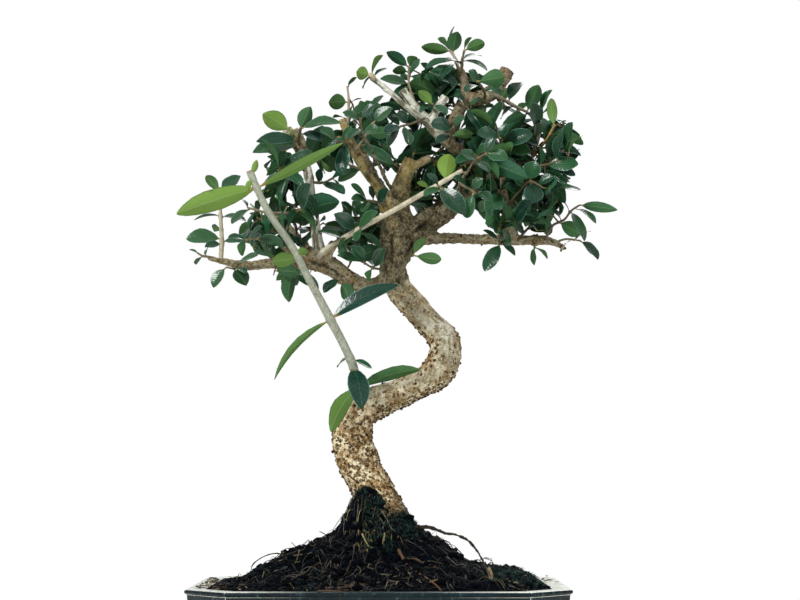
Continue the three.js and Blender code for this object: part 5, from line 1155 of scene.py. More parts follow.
def make_thicket(name, number, finishes, thickness):
    """The sprigs that thicken one part of the crown."""
    laid = laid_out()
    count, near, far, outline = THICKETS[name]
    random = seeded_random(5000 + number)
    shell = Shell()
    for sprig in range(count):
        route = sprig_route(outline, near, far, laid["wood"], random)
        if route is None:
            continue
        owner = f"{name}_{sprig}"
        laid["wood"].add(route, owner)
        length = 17 + 8 * random()
        own = []
        for pair in range(SPRIG_PAIRS):
            for sign in (1, -1):
                seed = 9000 + number * 2000 + sprig * 20 + pair * 2 + (sign > 0)
                for attempt in range(SPRIG_LEAF_TRIES):
                    leaf = pair_leaf(route, (SPRIG_PAIRS, length, 0.45), pair, sign, seed, attempt)
                    if not in_crown(leaf_point(leaf, 0.95, 0)) or not in_crown(leaf_point(leaf, 0.5, 0)):
                        continue
                    leaf["width"] *= SPRIG_LEAF_WIDTH
                    leaf = with_samples(leaf, owner)
                    if is_clear(leaf, laid["leaves"], laid["wood"], **SPRIG_ROOM):
                        laid["leaves"].append(leaf)
                        own.append(leaf)
                        break
        if own:
            add_twig(shell, route, own, hex_colour(SPRIG_TONE), 700 + sprig)
        for k, leaf in enumerate(own):
            add_leaf(shell, leaf, 0.8 * random(), 0.1 * random(), 7000 + sprig * 10 + k, thickness, *SPRIG_BLADE)
    leafy_piece("sprigs_" + name, shell, finishes)


# ---------------------------------------------------------------- trunk

LOFT_STEP, LOFT_SIDES = 1.2, 28
# Each limb's bark, from 0 to 1, where it starts and where it ends: how old and dark, how pale as
# bare wood, how golden, how warty.
LIMB_BARK = {
    "left_branch": ((0.45, 0.45, 0.1, 0.3), (0.55, 0.4, 0.1, 0.2)),
    "branch_stub": ((0.2, 0.3, 0.1, 0.1), (0.1, 0.3, 0.1, 0.1)),
    "branch_knot": ((0.3, 0.3, 0, 0.3), (0.2, 0.3, 0, 0.3)),
    "riser_knob": ((0.5, 0.4, 0.1, 0.3), (0.5, 0.3, 0, 0.4)),
    "fork_knot": ((0.9, 0.1, 0.1, 0.2), (0.8, 0.1, 0.2, 0.2)),
    "front_left_limb": ((1, 0, 0.1, 0.1), (1, 0, 0, 0)),
    "front_right_limb": ((1, 0, 0.1, 0.1), (1, 0, 0, 0)),
    "left_riser": ((0, 1, 0, 0), (0.3, 0.7, 0, 0.15)),
    "golden_limb": ((0.4, 0, 0.8, 0.1), (0.2, 0.3, 0.5, 0.1)),
    "crown_stub": ((0.3, 0.2, 0.8, 0.1), (0.3, 0.4, 0.3, 0)),
    "right_limb": ((1, 0, 0, 0.3), (0.8, 0.2, 0, 0.1)),
    "diagonal_limb": ((1.4, -0.7, 0.2, 0.2), (-0.9, 1.9, 0, 0)),
    "pale_stub": ((0, 1, 0, 0), (0, 1, 0, 0)),
    "short_stub": ((0, 1, 0, 0), (0, 1, 0, 0)),
    "top_limb": ((1, 0, 0, 0.1), (0.6, 0.4, 0, 0.1)),
    "top_knob": ((0.6, 0.3, 0, 0.3), (0.3, 0.5, 0, 0.3)),
    "lower_right": ((0.9, 0.2, 0, 0.3), (0.35, 0.5, 0.1, 0.3)),
    "right_riser": ((0.1, 0.5, 0.25, 0.3), (0.1, 0.6, 0.2, 0.3)),
    "left_root": ((0.5, 0, 0.2, 0.5), (0.5, 0, 0.2, 0.5)),
    "right_root": ((0.5, 0, 0.2, 0.5), (0.5, 0, 0.2, 0.5)),
    "arching_root": ((1, 0, 0, 0), (0.6, 0.2, 0.1, 0)),
}
OTHER_BARK = ((0.8, 0.1, 0, 0.3), (0.7, 0.2, 0, 0.1))
# The main trunk's bark at heights up it: height, then the same four.
TRUNK_BARK = (
    (80, 0.2, 0, 0, 0.8), (115, 0.1, 0, 0, 0.9), (165, 0, 0, 0, 1), (183, 0, 0.1, 0, 0.75),
    (198, 0, 0.6, 0, 0.32), (222, 0.1, 0.75, 0, 0.25), (238, 0.35, 0.8, 0, 0.2), (256, 0.85, 0.4, 0, 0.2),
    (272, 1, 0.1, 0, 0.2), (318, 1, 0, 0.1, 0.15), (332, 0.6, 0, 0.5, 0.1),
    (350, 0.3, 0.1, 0.7, 0.1),
)
BARK_DRIFT, BARK_DRIFT_SIZE = 14.0, 11.0  # how far, and in what size of patch, the bark's zones wander
BEND_FOOT, BEND_TOP = 186, 250  # heights between which the bend's lower and inner sides are warty
LEFT_HOLLOW, RIGHT_HOLLOW = (224, 12), (230, 13)  # the bend's inner sides: middle and half height
FLANK_FOOT, FLANK_TOP = 220, 272  # heights between which the trunk's flanks stay pale
STAIN_HEIGHTS = (118, 134)  # over which the soil's stain fades up the trunk's foot
CUT_REACH = 7  # no cut is wider than this from its middle
CLEFT_REACH = 24  # no cleft reaches further from its middle
# Limbs that end in a sawn cut: how wide the cut's dark heart is, and how far the limb is stained below it.
CUT_LIMBS = {"left_riser": (2.5, 1), "crown_stub": (1.6, 0.5), "pale_stub": (1.3, 0.5), "short_stub": (1.9, 0.5),
             "top_knob": (9, 6), "top_limb": (1.6, 0.5), "right_riser": (1.2, 0.5), "diagonal_limb": (2.2, 0.5),
             "branch_stub": (4.5, 2)}
# Limbs that are slimmer than the solids'.
SLIMMER = {"arching_root": 0.68, "front_left_limb": 0.5, "front_right_limb": 0.5, "near_left_limb": 0.6}
# Short stubs that only the bark has: x, y, z and radius at each bend.
SMALL_STUBS = {
    "branch_stub": ((-49, -13, 281, 3.6), (-46, -18, 287, 3.2), (-42, -22, 293, 3.0)),
    "branch_knot": ((-58, -14, 283, 4.6), (-59, -19, 285, 3.4)),
    "fork_knot": ((-4, -4, 305, 6.5), (-6, -9, 309, 4.0)),
    "riser_knob": ((-64, -4, 354, 3.7), (-67, -4, 362, 4.7), (-71, -4, 369, 4.3)),
}
ALL_LIMBS = LIMBS | SMALL_STUBS
# Clefts cut into the old bark, also darkened with the stain's colour as painted shade: depth and width, then their
# places.
CLEFTS = (
    (2.4, 0.9, ((6, -7, 297), (8, -6, 287), (6, -6, 278), (4, -7, 271))),
    (1.6, 0.9, ((10, -8, 302), (14, -6, 306), (19, -5, 309))),
    (1.0, 0.6, ((-4, -10, 300), (-6, -9, 290), (-5, -9, 281))),
    (1.2, 0.8, ((-38, -14, 272), (-47, -19, 277), (-56, -20, 280))),
    (1.0, 0.6, ((2, -12, 322), (0, -11, 314), (3, -11, 307))),
)
WART_CELL = 2.2
WART_SEED = 1  # Blender's vector noise, which bends the warts' cells, starts from the clock without a seed
RELIEF_CHUNK = 4000


def limb_skin(voxel):
    """All limbs as lumpy tubes, joined into one skin. Gives its points, quads and edges."""
    shell = Shell()
    for number, (name, route) in enumerate(ALL_LIMBS.items()):
        curve = smooth_route(route, LOFT_STEP)
        angles = 2 * math.pi * np.arange(LOFT_SIDES) / LOFT_SIDES
        lumps = np.array([
            [1 + 0.1 * noise.noise(Vector((math.cos(a) * 1.4 + number * 7, math.sin(a) * 1.4, k * LOFT_STEP / 14)))
             for a in angles] for k in range(len(curve))
        ])
        points, quads, triangles = tube(curve[:, :3], curve[:, 3] * SLIMMER.get(name, 1.0), LOFT_SIDES, lumps)
        shell.add(points, quads, triangles)
    rough = new_object("limb_skin", shell.mesh("limb_skin"))
    joined = rough.modifiers.new("joined", "REMESH")
    joined.mode, joined.voxel_size, joined.adaptivity = "VOXEL", voxel * MM, 0.0
    bpy.context.view_layer.update()
    mesh = bpy.data.meshes.new_from_object(rough.evaluated_get(bpy.context.evaluated_depsgraph_get()))
    points = np.empty(len(mesh.vertices) * 3)
    mesh.vertices.foreach_get("co", points)
    corners = np.empty(len(mesh.loops), int)
    mesh.loops.foreach_get("vertex_index", corners)
    edges = np.empty(len(mesh.edges) * 2, int)
    mesh.edges.foreach_get("vertices", edges)
    if len(corners) != 4 * len(mesh.polygons):
        raise RuntimeError("the joined skin of the limbs is not all quads")
    bpy.data.objects.remove(rough)
    bpy.data.meshes.remove(mesh)
    return points.reshape(-1, 3) / MM, corners.reshape(-1, 4), edges.reshape(-1, 2)


def nearest_limbs(points):
    """For each point the limb it belongs to, the way that the limb runs there and how far along it."""
    names, stretches, shares = [], [], []
    for name, route in ALL_LIMBS.items():
        places = np.array(route, float)
        lengths = lengths_to(places)
        for k in range(len(route) - 1):
            names.append(name)
            stretches.append((places[k], places[k + 1]))
            shares.append(lengths[k:k + 2] / lengths[-1])
    stretches, shares = np.array(stretches), np.array(shares)
    start, along = stretches[:, 0, :3], stretches[:, 1, :3] - stretches[:, 0, :3]
    radii = stretches[:, :, 3]
    best, reached = np.zeros(len(points), int), np.zeros(len(points))
    for k in range(0, len(points), RELIEF_CHUNK):
        share, gaps = line_gaps(points[k:k + RELIEF_CHUNK], start, along)
        gaps -= radii[:, 0] + (radii[:, 1] - radii[:, 0]) * share
        nearest = gaps.argmin(1)
        best[k:k + RELIEF_CHUNK] = nearest
        inward = share[np.arange(len(nearest)), nearest]
        reached[k:k + RELIEF_CHUNK] = shares[nearest, 0] + (shares[nearest, 1] - shares[nearest, 0]) * inward
    ways = along / np.linalg.norm(along, axis=1)[:, None]
    return np.array(names)[best], ways[best], reached


def bark_of(points, normals, names, reached, edges, weights):
    """Age, paleness, gold and wartiness at each point, softened where limbs meet."""
    table = np.array(TRUNK_BARK)
    ends = np.array([LIMB_BARK.get(name, OTHER_BARK) for name in names])
    bark = np.clip(ends[:, 0] + (ends[:, 1] - ends[:, 0]) * reached[:, None], 0, 1)
    main = names == "trunk"
    drift = np.array([grain(point, BARK_DRIFT_SIZE) for point in points])
    height = points[:, 2] + BARK_DRIFT * drift
    for channel in range(4):
        bark[main, channel] = np.interp(height[main], table[:, 0], table[:, channel + 1])
    # The trunk's foot is the wartiest in front and on its right.
    foot = main * (points[:, 2] < BEND_FOOT)
    bark[:, 3] *= 1 + 0.4 * foot * (0.6 * normals[:, 0] - 0.5 * normals[:, 1])
    # The bend's lower and inner sides are the wartiest, and its upper side is the greyest.
    bend = main * np.interp(points[:, 2], (BEND_FOOT - 8, BEND_FOOT, BEND_TOP, BEND_TOP + 12), (0, 1, 1, 0))
    hollow = np.maximum(-normals[:, 2], -normals[:, 0] * (np.abs(points[:, 2] - LEFT_HOLLOW[0]) < LEFT_HOLLOW[1]))
    hollow = np.maximum(hollow, 0.6 * normals[:, 0] * (np.abs(points[:, 2] - RIGHT_HOLLOW[0]) < RIGHT_HOLLOW[1]))
    turned = bend * np.clip(2.4 * (hollow - 0.3) + 0.5 * drift, 0, 1)
    bark[:, 3] += 0.7 * turned
    bark[:, 1] *= 1 - 0.8 * turned
    # Over the bend the bark is old along the middle and still pale along both flanks.
    flank = np.abs(normals @ unit(np.array([0.75, 0.0, 0.66]))) * main
    flank = flank * (points[:, 2] < FLANK_TOP) * (points[:, 2] > FLANK_FOOT)
    bark[:, 0] *= 1 - 0.8 * np.clip(2.5 * (flank - 0.42), 0, 1)
    for _ in range(8):
        bark = 0.4 * bark + 0.6 * neighbour_mean(bark, edges, weights)
    return bark


def stained(points, names, edges, weights):
    """How much each point is stained by soil: the trunk's foot and the roots."""
    drift = np.array([grain(point, 6.0) for point in points])
    stain = np.interp(points[:, 2] - 0.35 * points[:, 0] + 9 * drift, STAIN_HEIGHTS, (0.95, 0.0)) * (names == "trunk")
    stain = np.where(np.isin(names, ("left_root", "right_root")), 0.8, stain)
    arching = names == "arching_root"
    end = np.array(LIMBS["arching_root"][-1][:3], float)
    stain[arching] = np.clip(np.linalg.norm(points[arching] - end, axis=1) / 7 - 0.8, 0.0, 1.0)
    for _ in range(4):
        stain = 0.4 * stain + 0.6 * neighbour_mean(stain[:, None], edges, weights)[:, 0]
    return stain


def cleft_depths(points):
    """How deep each point lies in a cleft, in millimetres."""
    depths = np.zeros(len(points))
    for depth, width, places in CLEFTS:
        route = smooth_route(np.array([[*place, 1.0] for place in places], float), 1.0)[:, :3]
        near = np.flatnonzero(np.linalg.norm(points - route.mean(0), axis=1) < CLEFT_REACH)
        gaps = np.linalg.norm(points[near, None, :] - route[None], axis=2).min(1)
        wander = np.array([grain(point, 2.6) for point in points[near]])
        aside = (gaps + 1.4 * wander - 0.6).clip(0) / width
        depths[near] = np.maximum(depths[near], depth * np.exp(-(aside**2)))
    return depths


def streak_at(point, way):
    """Lengthwise streaks of the bark, from 0 to 1."""
    grown = point - way * float(point @ way) * 0.86
    value = grain(grown, 1.9) + 0.5 * grain(grown, 0.95) + 0.5 * grain(point, 5.0)
    return min(max(0.5 + 0.55 * value, 0.0), 1.0)


def cut_share(points):
    """How much each point belongs to the heart of a sawn end."""
    cut = np.zeros(len(points))
    for name, (reach, collar) in CUT_LIMBS.items():
        route = ALL_LIMBS[name]
        end, before = np.array(route[-1][:3], float), np.array(route[-2][:3], float)
        way = unit(end - before)
        away = points - end
        ahead = away @ way
        aside = np.linalg.norm(away - np.outer(ahead, way), axis=1)
        cut = np.maximum(cut, (ahead > -0.5) * np.clip(1.4 * (1 - aside / reach), 0, 1) * (aside < CUT_REACH))
        cut = np.maximum(cut, 0.65 * np.clip(1 + ahead / collar, 0, 1) * (aside < CUT_REACH) * (ahead < 4))
    return cut


def cork_lump(point, warty):
    """How much a point lies on a cork wart, from 0 to 1."""
    if warty < 0.08:
        return 0.0
    bent = Vector(point) + 1.3 * noise.noise_vector(Vector(point / 1.9))
    gap = noise.voronoi(bent / WART_CELL)[0][0]
    reach = 0.05 + 0.31 * min(warty, 1.2) + 0.24 * grain(point, 5.5)
    return min(max(0.0, 1 - gap / max(reach, 0.05)) * 1.6, 1.0)


def bark_relief(point, way, age, pale, lump):
    """How far the bark stands out at a point, in millimetres."""
    grown = point - way * float(point @ way) * 0.78
    relief = 0.35 * grain(point, 7.0) + 0.62 * lump
    if age > 0.05:
        crest = 1 - abs(grain(point, 4.6))
        relief += age * (1.5 * (crest - 0.76) + 0.7 * grain(point, 2.1))
    relief += (0.22 + 0.4 * pale) * grain(grown, 1.7)
    return relief


def add_wart(shell, centre, normal, radius, height, tones, seed):
    """A rough knob of cork with a dark foot and a paler crown."""
    points, faces = blob()
    rough = np.array([1 + 0.55 * noise.noise(Vector(p * 1.3 + seed)) for p in points])
    points = points * rough[:, None]
    side = unit(np.cross(normal, UP if abs(normal[2]) < 0.9 else FRONT))
    other = np.cross(normal, side)
    placed = centre + radius * (np.outer(points[:, 0], side) + np.outer(points[:, 1], other))
    placed += height * np.outer(points[:, 2], normal)
    top = np.clip((points[:, 2] - 0.45) / 0.4, 0, 1)[:, None]
    tone = np.array(tones[0][:3]) * (1 - top) + np.array(tones[1][:3]) * top
    shell.add(placed, triangles=faces, colour=opaque(tone))


GROWN = {}  # what the warts need of the bark


def make_trunk(sizes, finishes):
    """The trunk and all limbs under one bark. Keeps what the warts need of it."""
    noise.seed_set(WART_SEED)
    points, quads, edges = limb_skin(sizes.bark_detail / MM)
    weights = np.bincount(edges.ravel(), minlength=len(points)).astype(float)
    for _ in range(2):
        points = 0.5 * points + 0.5 * neighbour_mean(points, edges, weights)
    normals = vertex_normals(points, quads)
    names, ways, reached = nearest_limbs(points)
    bark = bark_of(points, normals, names, reached, edges, weights)
    stain = stained(points, names, edges, weights)
    lump = np.array([cork_lump(point, warty) for point, warty in zip(points, bark[:, 3])])
    relief = np.array([
        bark_relief(point, way, age, pale, high)
        for point, way, (age, pale, _, _), high in zip(points, ways, bark, lump)
    ])
    cleft = cleft_depths(points)
    relief -= cleft
    # The clefts take the stain's dark colour: painted shade in them.
    stain = np.maximum(stain, np.clip(cleft / 1.3, 0, 0.85))
    cut = cut_share(points)
    slim = np.array([SLIMMER.get(name, 1.0) for name in names])
    shaped = points + normals * (relief * slim * (1 - cut) - 0.5 * cut)[:, None]
    shell = Shell()
    shell.add(shaped, quads, colour=np.clip(bark, 0, 1))
    mesh = shell.mesh("trunk_bark", "bark")
    streak = np.array([streak_at(point, way) for point, way in zip(points, ways)])
    grown = np.stack([streak, cut, stain, lump], 1)
    colour_layer(mesh, "grown", grown)
    piece("trunk_bark", mesh, [finishes["bark"]], ["trunk"])
    GROWN.update(points=shaped, normals=normals, warty=bark[:, 3] * (cut == 0) * (stain < 0.6), lump=lump)



def make_warts(look, sizes, finishes):
    """The cork warts that stand out of the bark, thick where it is warty."""
    if not GROWN:
        raise RuntimeError("the trunk is made before its warts")
    random = seeded_random(77)
    warts = Shell()
    taken = set()
    spacing = sizes.wart_spacing / MM
    points, normals, warty, lump = GROWN["points"], GROWN["normals"], GROWN["warty"], GROWN["lump"]
    for k in sorted(range(len(points)), key=lambda k: (k * 7919) % 104729):
        if warty[k] < 0.2 or random() > 0.16 * warty[k] ** 1.5 * (0.35 + lump[k]):
            continue
        cell = tuple(np.floor(points[k] / spacing).astype(int))
        if cell in taken:
            continue
        taken.add(cell)
        radius = sizes.wart_size / MM * (0.5 + 0.7 * random() ** 1.5)
        pick = random()
        crown = look.bark_tan if pick < 0.3 else look.wart_brown if pick < 0.85 else look.wart_dark
        tones = [look.wart_dark[:], crown[:]]
        add_wart(warts, points[k], normals[k], radius, radius * (0.55 + 0.5 * random()), tones, 9 * random())
    piece("bark_warts", warts.mesh("bark_warts", "wart"), [finishes["wart"]])
# ---------------------------------------------------------------- soil, roots and moss

POT_X = -13
POT_HALF_LENGTH, POT_HALF_DEPTH, POT_CORNER = 118, 88, 27
SOIL_INSET = 12.7  # from the rim's outer edge to the soil's edge
SOIL_BOTTOM, SOIL_BOTTOM_INSET = 15.3, 18.2
MOUND_FOOT = np.array([-14.0, 0.0])
# The mound's height over the way from the trunk (0) to the wall (1), to the left and to the right.
MOUND_LEFT = ((0, 124), (0.15, 118), (0.25, 107.5), (0.4, 98.5), (0.56, 92.5), (0.72, 83), (0.86, 75), (1, 72.8))
MOUND_RIGHT = ((0, 124), (0.2, 113), (0.32, 103), (0.44, 95.5), (0.54, 86.5), (0.7, 82), (0.88, 80.5), (1, 72.5))
SOIL_RINGS, SOIL_SPOKES = 84, 300
CLODS = ((11.0, 3.0), (5.0, 3.0), (2.2, 1.7))  # grain size and height of the soil's roughness
# Heaps against the trunk's foot: x, y, spread and height.
HEAPS = ((-28, -15, 6.0, 13.0), (-18, -16, 6.0, 14.0), (-8, -18, 6.5, 6.0), (5, -14, 7.0, 3.0))


def pot_outline(inset):
    """The eight corners of the pot's outline, moved in from the rim's outer edge."""
    half_x, half_y = POT_HALF_LENGTH - inset, POT_HALF_DEPTH - inset
    corner = POT_CORNER - inset * (2 - math.sqrt(2))
    points = []
    for sx, sy in ((1, 1), (-1, 1), (-1, -1), (1, -1)):
        on_side = (POT_X + sx * half_x, sy * (half_y - corner))
        on_end = (POT_X + sx * (half_x - corner), sy * half_y)
        points += [on_side, on_end] if sx == sy else [on_end, on_side]
    return np.array(points)


SOIL_OUTLINE = pot_outline(SOIL_INSET)


def to_wall(way):
    """How far the soil's edge lies from the mound's foot in a direction."""
    start = SOIL_OUTLINE - MOUND_FOOT
    along = np.roll(start, -1, axis=0) - start
    across = way[0] * along[:, 1] - way[1] * along[:, 0]
    across = np.where(np.abs(across) < 1e-9, 1e-9, across)
    reach = (start[:, 0] * along[:, 1] - start[:, 1] * along[:, 0]) / across
    share = (start[:, 0] * way[1] - start[:, 1] * way[0]) / across
    fits = (reach > 0) & (share > -1e-6) & (share < 1 + 1e-6)
    return float(reach[fits].min())


def from_foot(x, y):
    """The direction and distance of a place from the mound's foot."""
    away = np.array([x, y]) - MOUND_FOOT
    distance = max(float(np.hypot(*away)), 1e-6)
    return away / distance, distance


def ground(x, y):
    """The soil's height at a place, with its clods."""
    way, distance = from_foot(x, y)
    share = min(distance / to_wall(way), 1)
    right = (1 + way[0]) / 2
    height = np.interp(share, *zip(*MOUND_LEFT)) * (1 - right) + np.interp(share, *zip(*MOUND_RIGHT)) * right
    calm = 1 - share**8
    for heap_x, heap_y, spread, rise in HEAPS:
        height += rise * math.exp(-((x - heap_x) ** 2 + (y - heap_y) ** 2) / (2 * spread**2))
    for size, rise in CLODS:
        height += calm * rise * noise.noise(Vector((x / size, y / size, size)))
    return float(height)


def add_soil_body(shell):
    """The soil as one closed body that fills the pot."""
    around = np.arange(SOIL_SPOKES) * len(SOIL_OUTLINE) / SOIL_SPOKES
    first = np.floor(around).astype(int)
    part = (around - first)[:, None]
    edge = SOIL_OUTLINE[first] * (1 - part) + np.roll(SOIL_OUTLINE, -1, axis=0)[first] * part
    rings = []
    for share in np.linspace(1, 0.02, SOIL_RINGS):
        flat = MOUND_FOOT + (edge - MOUND_FOOT) * share
        rings.append([(x, y, ground(x, y)) for x, y in flat])
    shrink = 1 - (SOIL_BOTTOM_INSET - SOIL_INSET) / (POT_HALF_LENGTH - SOIL_INSET)
    foot = [(POT_X + (x - POT_X) * shrink, y * shrink, SOIL_BOTTOM) for x, y in edge]
    points = np.array([foot] + rings).reshape(-1, 3)
    points = np.vstack([points, [[*MOUND_FOOT, ground(*MOUND_FOOT)], [POT_X, 0, SOIL_BOTTOM]]])
    spoke = np.arange(SOIL_SPOKES)
    top = fan(spoke + len(rings) * SOIL_SPOKES, len(points) - 2)
    bottom = fan(spoke, len(points) - 1)[:, [1, 0, 2]]
    shell.add(points, ring_quads(len(rings) + 1, SOIL_SPOKES), np.vstack([top, bottom]))


def on_mound(random, inner=0.12, outer=0.985):
    """A random place on the soil."""
    turn = 2 * math.pi * random()
    way = np.array([math.cos(turn), math.sin(turn)])
    share = math.sqrt(inner**2 + (outer**2 - inner**2) * random())
    return MOUND_FOOT + way * to_wall(way) * share


def within_wall(x, y, margin=0.98):
    way, distance = from_foot(x, y)
    return distance < margin * to_wall(way)


def add_crumbs(shell, count, random):
    """Crumbs of peat, flattened and turned at random."""
    points, faces = blob()
    for _ in range(count):
        x, y = on_mound(random)
        size = 0.7 + 3.0 * random() ** 3
        spin = TURN * random()
        cos, sin = math.cos(spin), math.sin(spin)
        shape = points * np.array([1, 0.6 + 0.4 * random(), 0.5 + 0.4 * random()]) * size
        rough = np.array([1 + 0.35 * noise.noise(Vector(p / 0.7 + x)) for p in points])
        across, deep, high = (shape * rough[:, None]).T
        turned = np.stack([across * cos - deep * sin, across * sin + deep * cos, high], 1)
        shell.add(turned + [x, y, ground(x, y) + 0.25 * size], triangles=faces)


# Tones of the fine roots, with the share of the roots up to each.
FIBRE_TONES = ((0.38, "#04080d"), (0.58, "#10181f"), (0.8, "#333435"), (0.96, "#5d5852"), (1.0, "#857c62"))
FIBRE_SIDES = 3


def add_fibre(shell, route, radius, tone, random, sides=FIBRE_SIDES):
    """One root strand through its places, thinner towards its end."""
    points = np.array([[*place, 1.0] for place in route])
    curve = smooth_route(points, 2.2)
    radii = radius * np.linspace(1, 0.45, len(curve)) * (1 + 0.12 * np.sin(np.arange(len(curve)) * 2.3 + random() * 6))
    made, quads, triangles = tube(curve[:, :3], radii, sides)
    shell.add(made, quads, triangles, (*np.array(tone[:3]) * (0.75 + 0.5 * random()), 1))


def wandering(start, way, steps, step, lift, random):
    """Places of a strand that wanders over the soil and now and then rises clear of it."""
    places = []
    x, y = start
    rise = lift * random()
    for k in range(steps):
        if not within_wall(x, y):
            break
        arch = rise * math.sin(math.pi * k / max(steps - 1, 1))
        places.append((x, y, ground(x, y) + 0.2 + arch + 0.5 * random()))
        way += 0.9 * (random() - 0.5)
        x, y = x + step * math.cos(way), y + step * math.sin(way)
    return places


def add_fibres(shell, count, random):
    """The mat of fine roots that holds the soil together."""
    for _ in range(count):
        start = on_mound(random, 0.1, 0.95)
        outward = math.atan2(*(start - MOUND_FOOT)[::-1])
        way = outward + 2.6 * (random() - 0.5)
        lift = 5.0 * random() ** 3
        places = wandering(start, way, 3 + int(4 * random()), 2.2 + 2.6 * random(), lift, random)
        if len(places) < 2:
            continue
        pick = random()
        tone = hex_colour(next(tone for share, tone in FIBRE_TONES if pick <= share))
        add_fibre(shell, places, 0.17 + 0.34 * random() ** 2, tone, random)


# Places thick with moss: x, y, radius, number of tufts, height.
MOSS_BEDS = (
    (66, -42, 24, 170, 3.4), (76, -20, 20, 130, 3.2), (80, 12, 20, 100, 3.0), (70, 45, 22, 90, 3.0),
    (-12, -24, 11, 95, 3.4), (3, -19, 9, 80, 3.4), (-19, -17, 7, 90, 3.2), (-8, -15, 6, 40, 3.0),
    (-31, -12, 6, 44, 3.4), (-24, 22, 20, 60, 3.2),
    (-92, -10, 16, 26, 2.6), (-60, -52, 22, 30, 2.4), (20, 52, 24, 50, 3.0),
)
MOSS_BLADES = 8
MOSS_TONES = ("#0a1a19", "#102521", "#17332d", "#263f38")
# Places strewn with dry yellowed moss and straw: x, y, spread, number.
STRAW_BEDS = (
    (-24, -26, 7, 22), (-14, -30, 8, 10), (-28, -18, 6, 20), (-60, -48, 22, 12), (20, -50, 26, 8), (30, 40, 40, 14),
)
STRAW_TONES = ("#4c4926", "#665f35", "#857a4a", "#3a3a22", "#9a8d60")


def add_tuft(shell, x, y, height, random):
    """A tuft of moss: thin pointed blades that lean outwards."""
    tone = np.array(hex_colour(MOSS_TONES[int(3.99 * random())]))
    base = np.array([x, y, ground(x, y) - 0.2])
    for _ in range(MOSS_BLADES):
        turn, lean = TURN * random(), 0.9 * random()
        way = np.array([math.cos(turn) * lean, math.sin(turn) * lean, 1.0])
        way /= np.linalg.norm(way)
        side = unit(np.cross(way, UP + 0.01))
        front = np.cross(side, way)
        tall = height * (0.5 + 0.6 * random())
        wide = 0.35 + 0.2 * random()
        foot = base + 0.8 * np.array([math.cos(turn), math.sin(turn), 0]) * random()
        middle = foot + way * tall * 0.5 + front * 0.1
        points = np.array([
            foot + side * wide, foot + front * wide, foot - side * wide,
            middle + side * wide * 0.8, middle + front * wide * 0.8, middle - side * wide * 0.8,
            foot + way * tall + (way - UP * way[2]) * tall * 0.3,
        ])
        triangles = [(3, 4, 6), (4, 5, 6), (5, 3, 6), (2, 1, 0)]
        shell.add(points, ring_quads(2, 3), triangles, opaque(np.outer((0.5, 0.5, 0.5, 1, 1, 1, 1.6), tone[:3])))


# Single roots that lie on the soil: tone, radius, height over the soil, then x, y.
SURFACE_ROOTS = (
    ("#6b4d3a", 0.95, 1.9, ((-1, -34), (4, -41), (9, -49), (15, -57), (19, -66), (23, -72), (25, -75))),
    ("#96784c", 0.5, 2.0, ((18, -66), (22, -65), (26, -61))),
    ("#5a4232", 0.6, 1.5, ((8, -37), (14, -39), (20, -42), (26, -47))),
    ("#3d2f27", 0.45, 0.8, ((10, -41), (17, -43), (24, -47))),
    ("#5f5145", 0.65, 1.5, ((-14, -63), (-7, -64), (-2, -64), (2, -66), (5, -69), (8, -71))),
    ("#6d665a", 0.5, 1.4, ((5, -56), (10, -61), (13, -67))),
    ("#a39c6c", 0.55, 1.4, ((-24, -26), (-20, -29), (-15, -34))),
    ("#3b302a", 0.4, 0.8, ((-23, -29), (-26, -34), (-24, -36), (-22, -41))),
    ("#3b322d", 0.45, 0.8, ((-41, -42), (-39, -51), (-36, -59))),
    ("#4f4031", 0.45, 0.9, ((-30, -41), (-33, -50), (-38, -61))),
    ("#463629", 0.5, 0.8, ((-49, -44), (-52, -48), (-56, -55))),
    ("#423933", 0.45, 0.8, ((-46, -45), (-48, -49), (-47, -55))),
    ("#7d7048", 0.45, 0.8, ((-63, -30), (-64, -40), (-65, -44))),
    ("#7b634a", 0.55, 1.5, ((-45, -68), (-39, -69), (-31, -69), (-27, -68), (-21, -65))),
    ("#806849", 0.4, 0.9, ((-29, -61), (-28, -64), (-32, -67), (-35, -70))),
    ("#3a322d", 0.5, 1.2, ((-12, -38), (-15, -48), (-14, -57))),
    ("#453a33", 0.4, 1.0, ((-33, -30), (-37, -38), (-44, -44))),
    ("#4a4038", 0.4, 1.2, ((-4, -44), (0, -53), (-3, -62))),
)
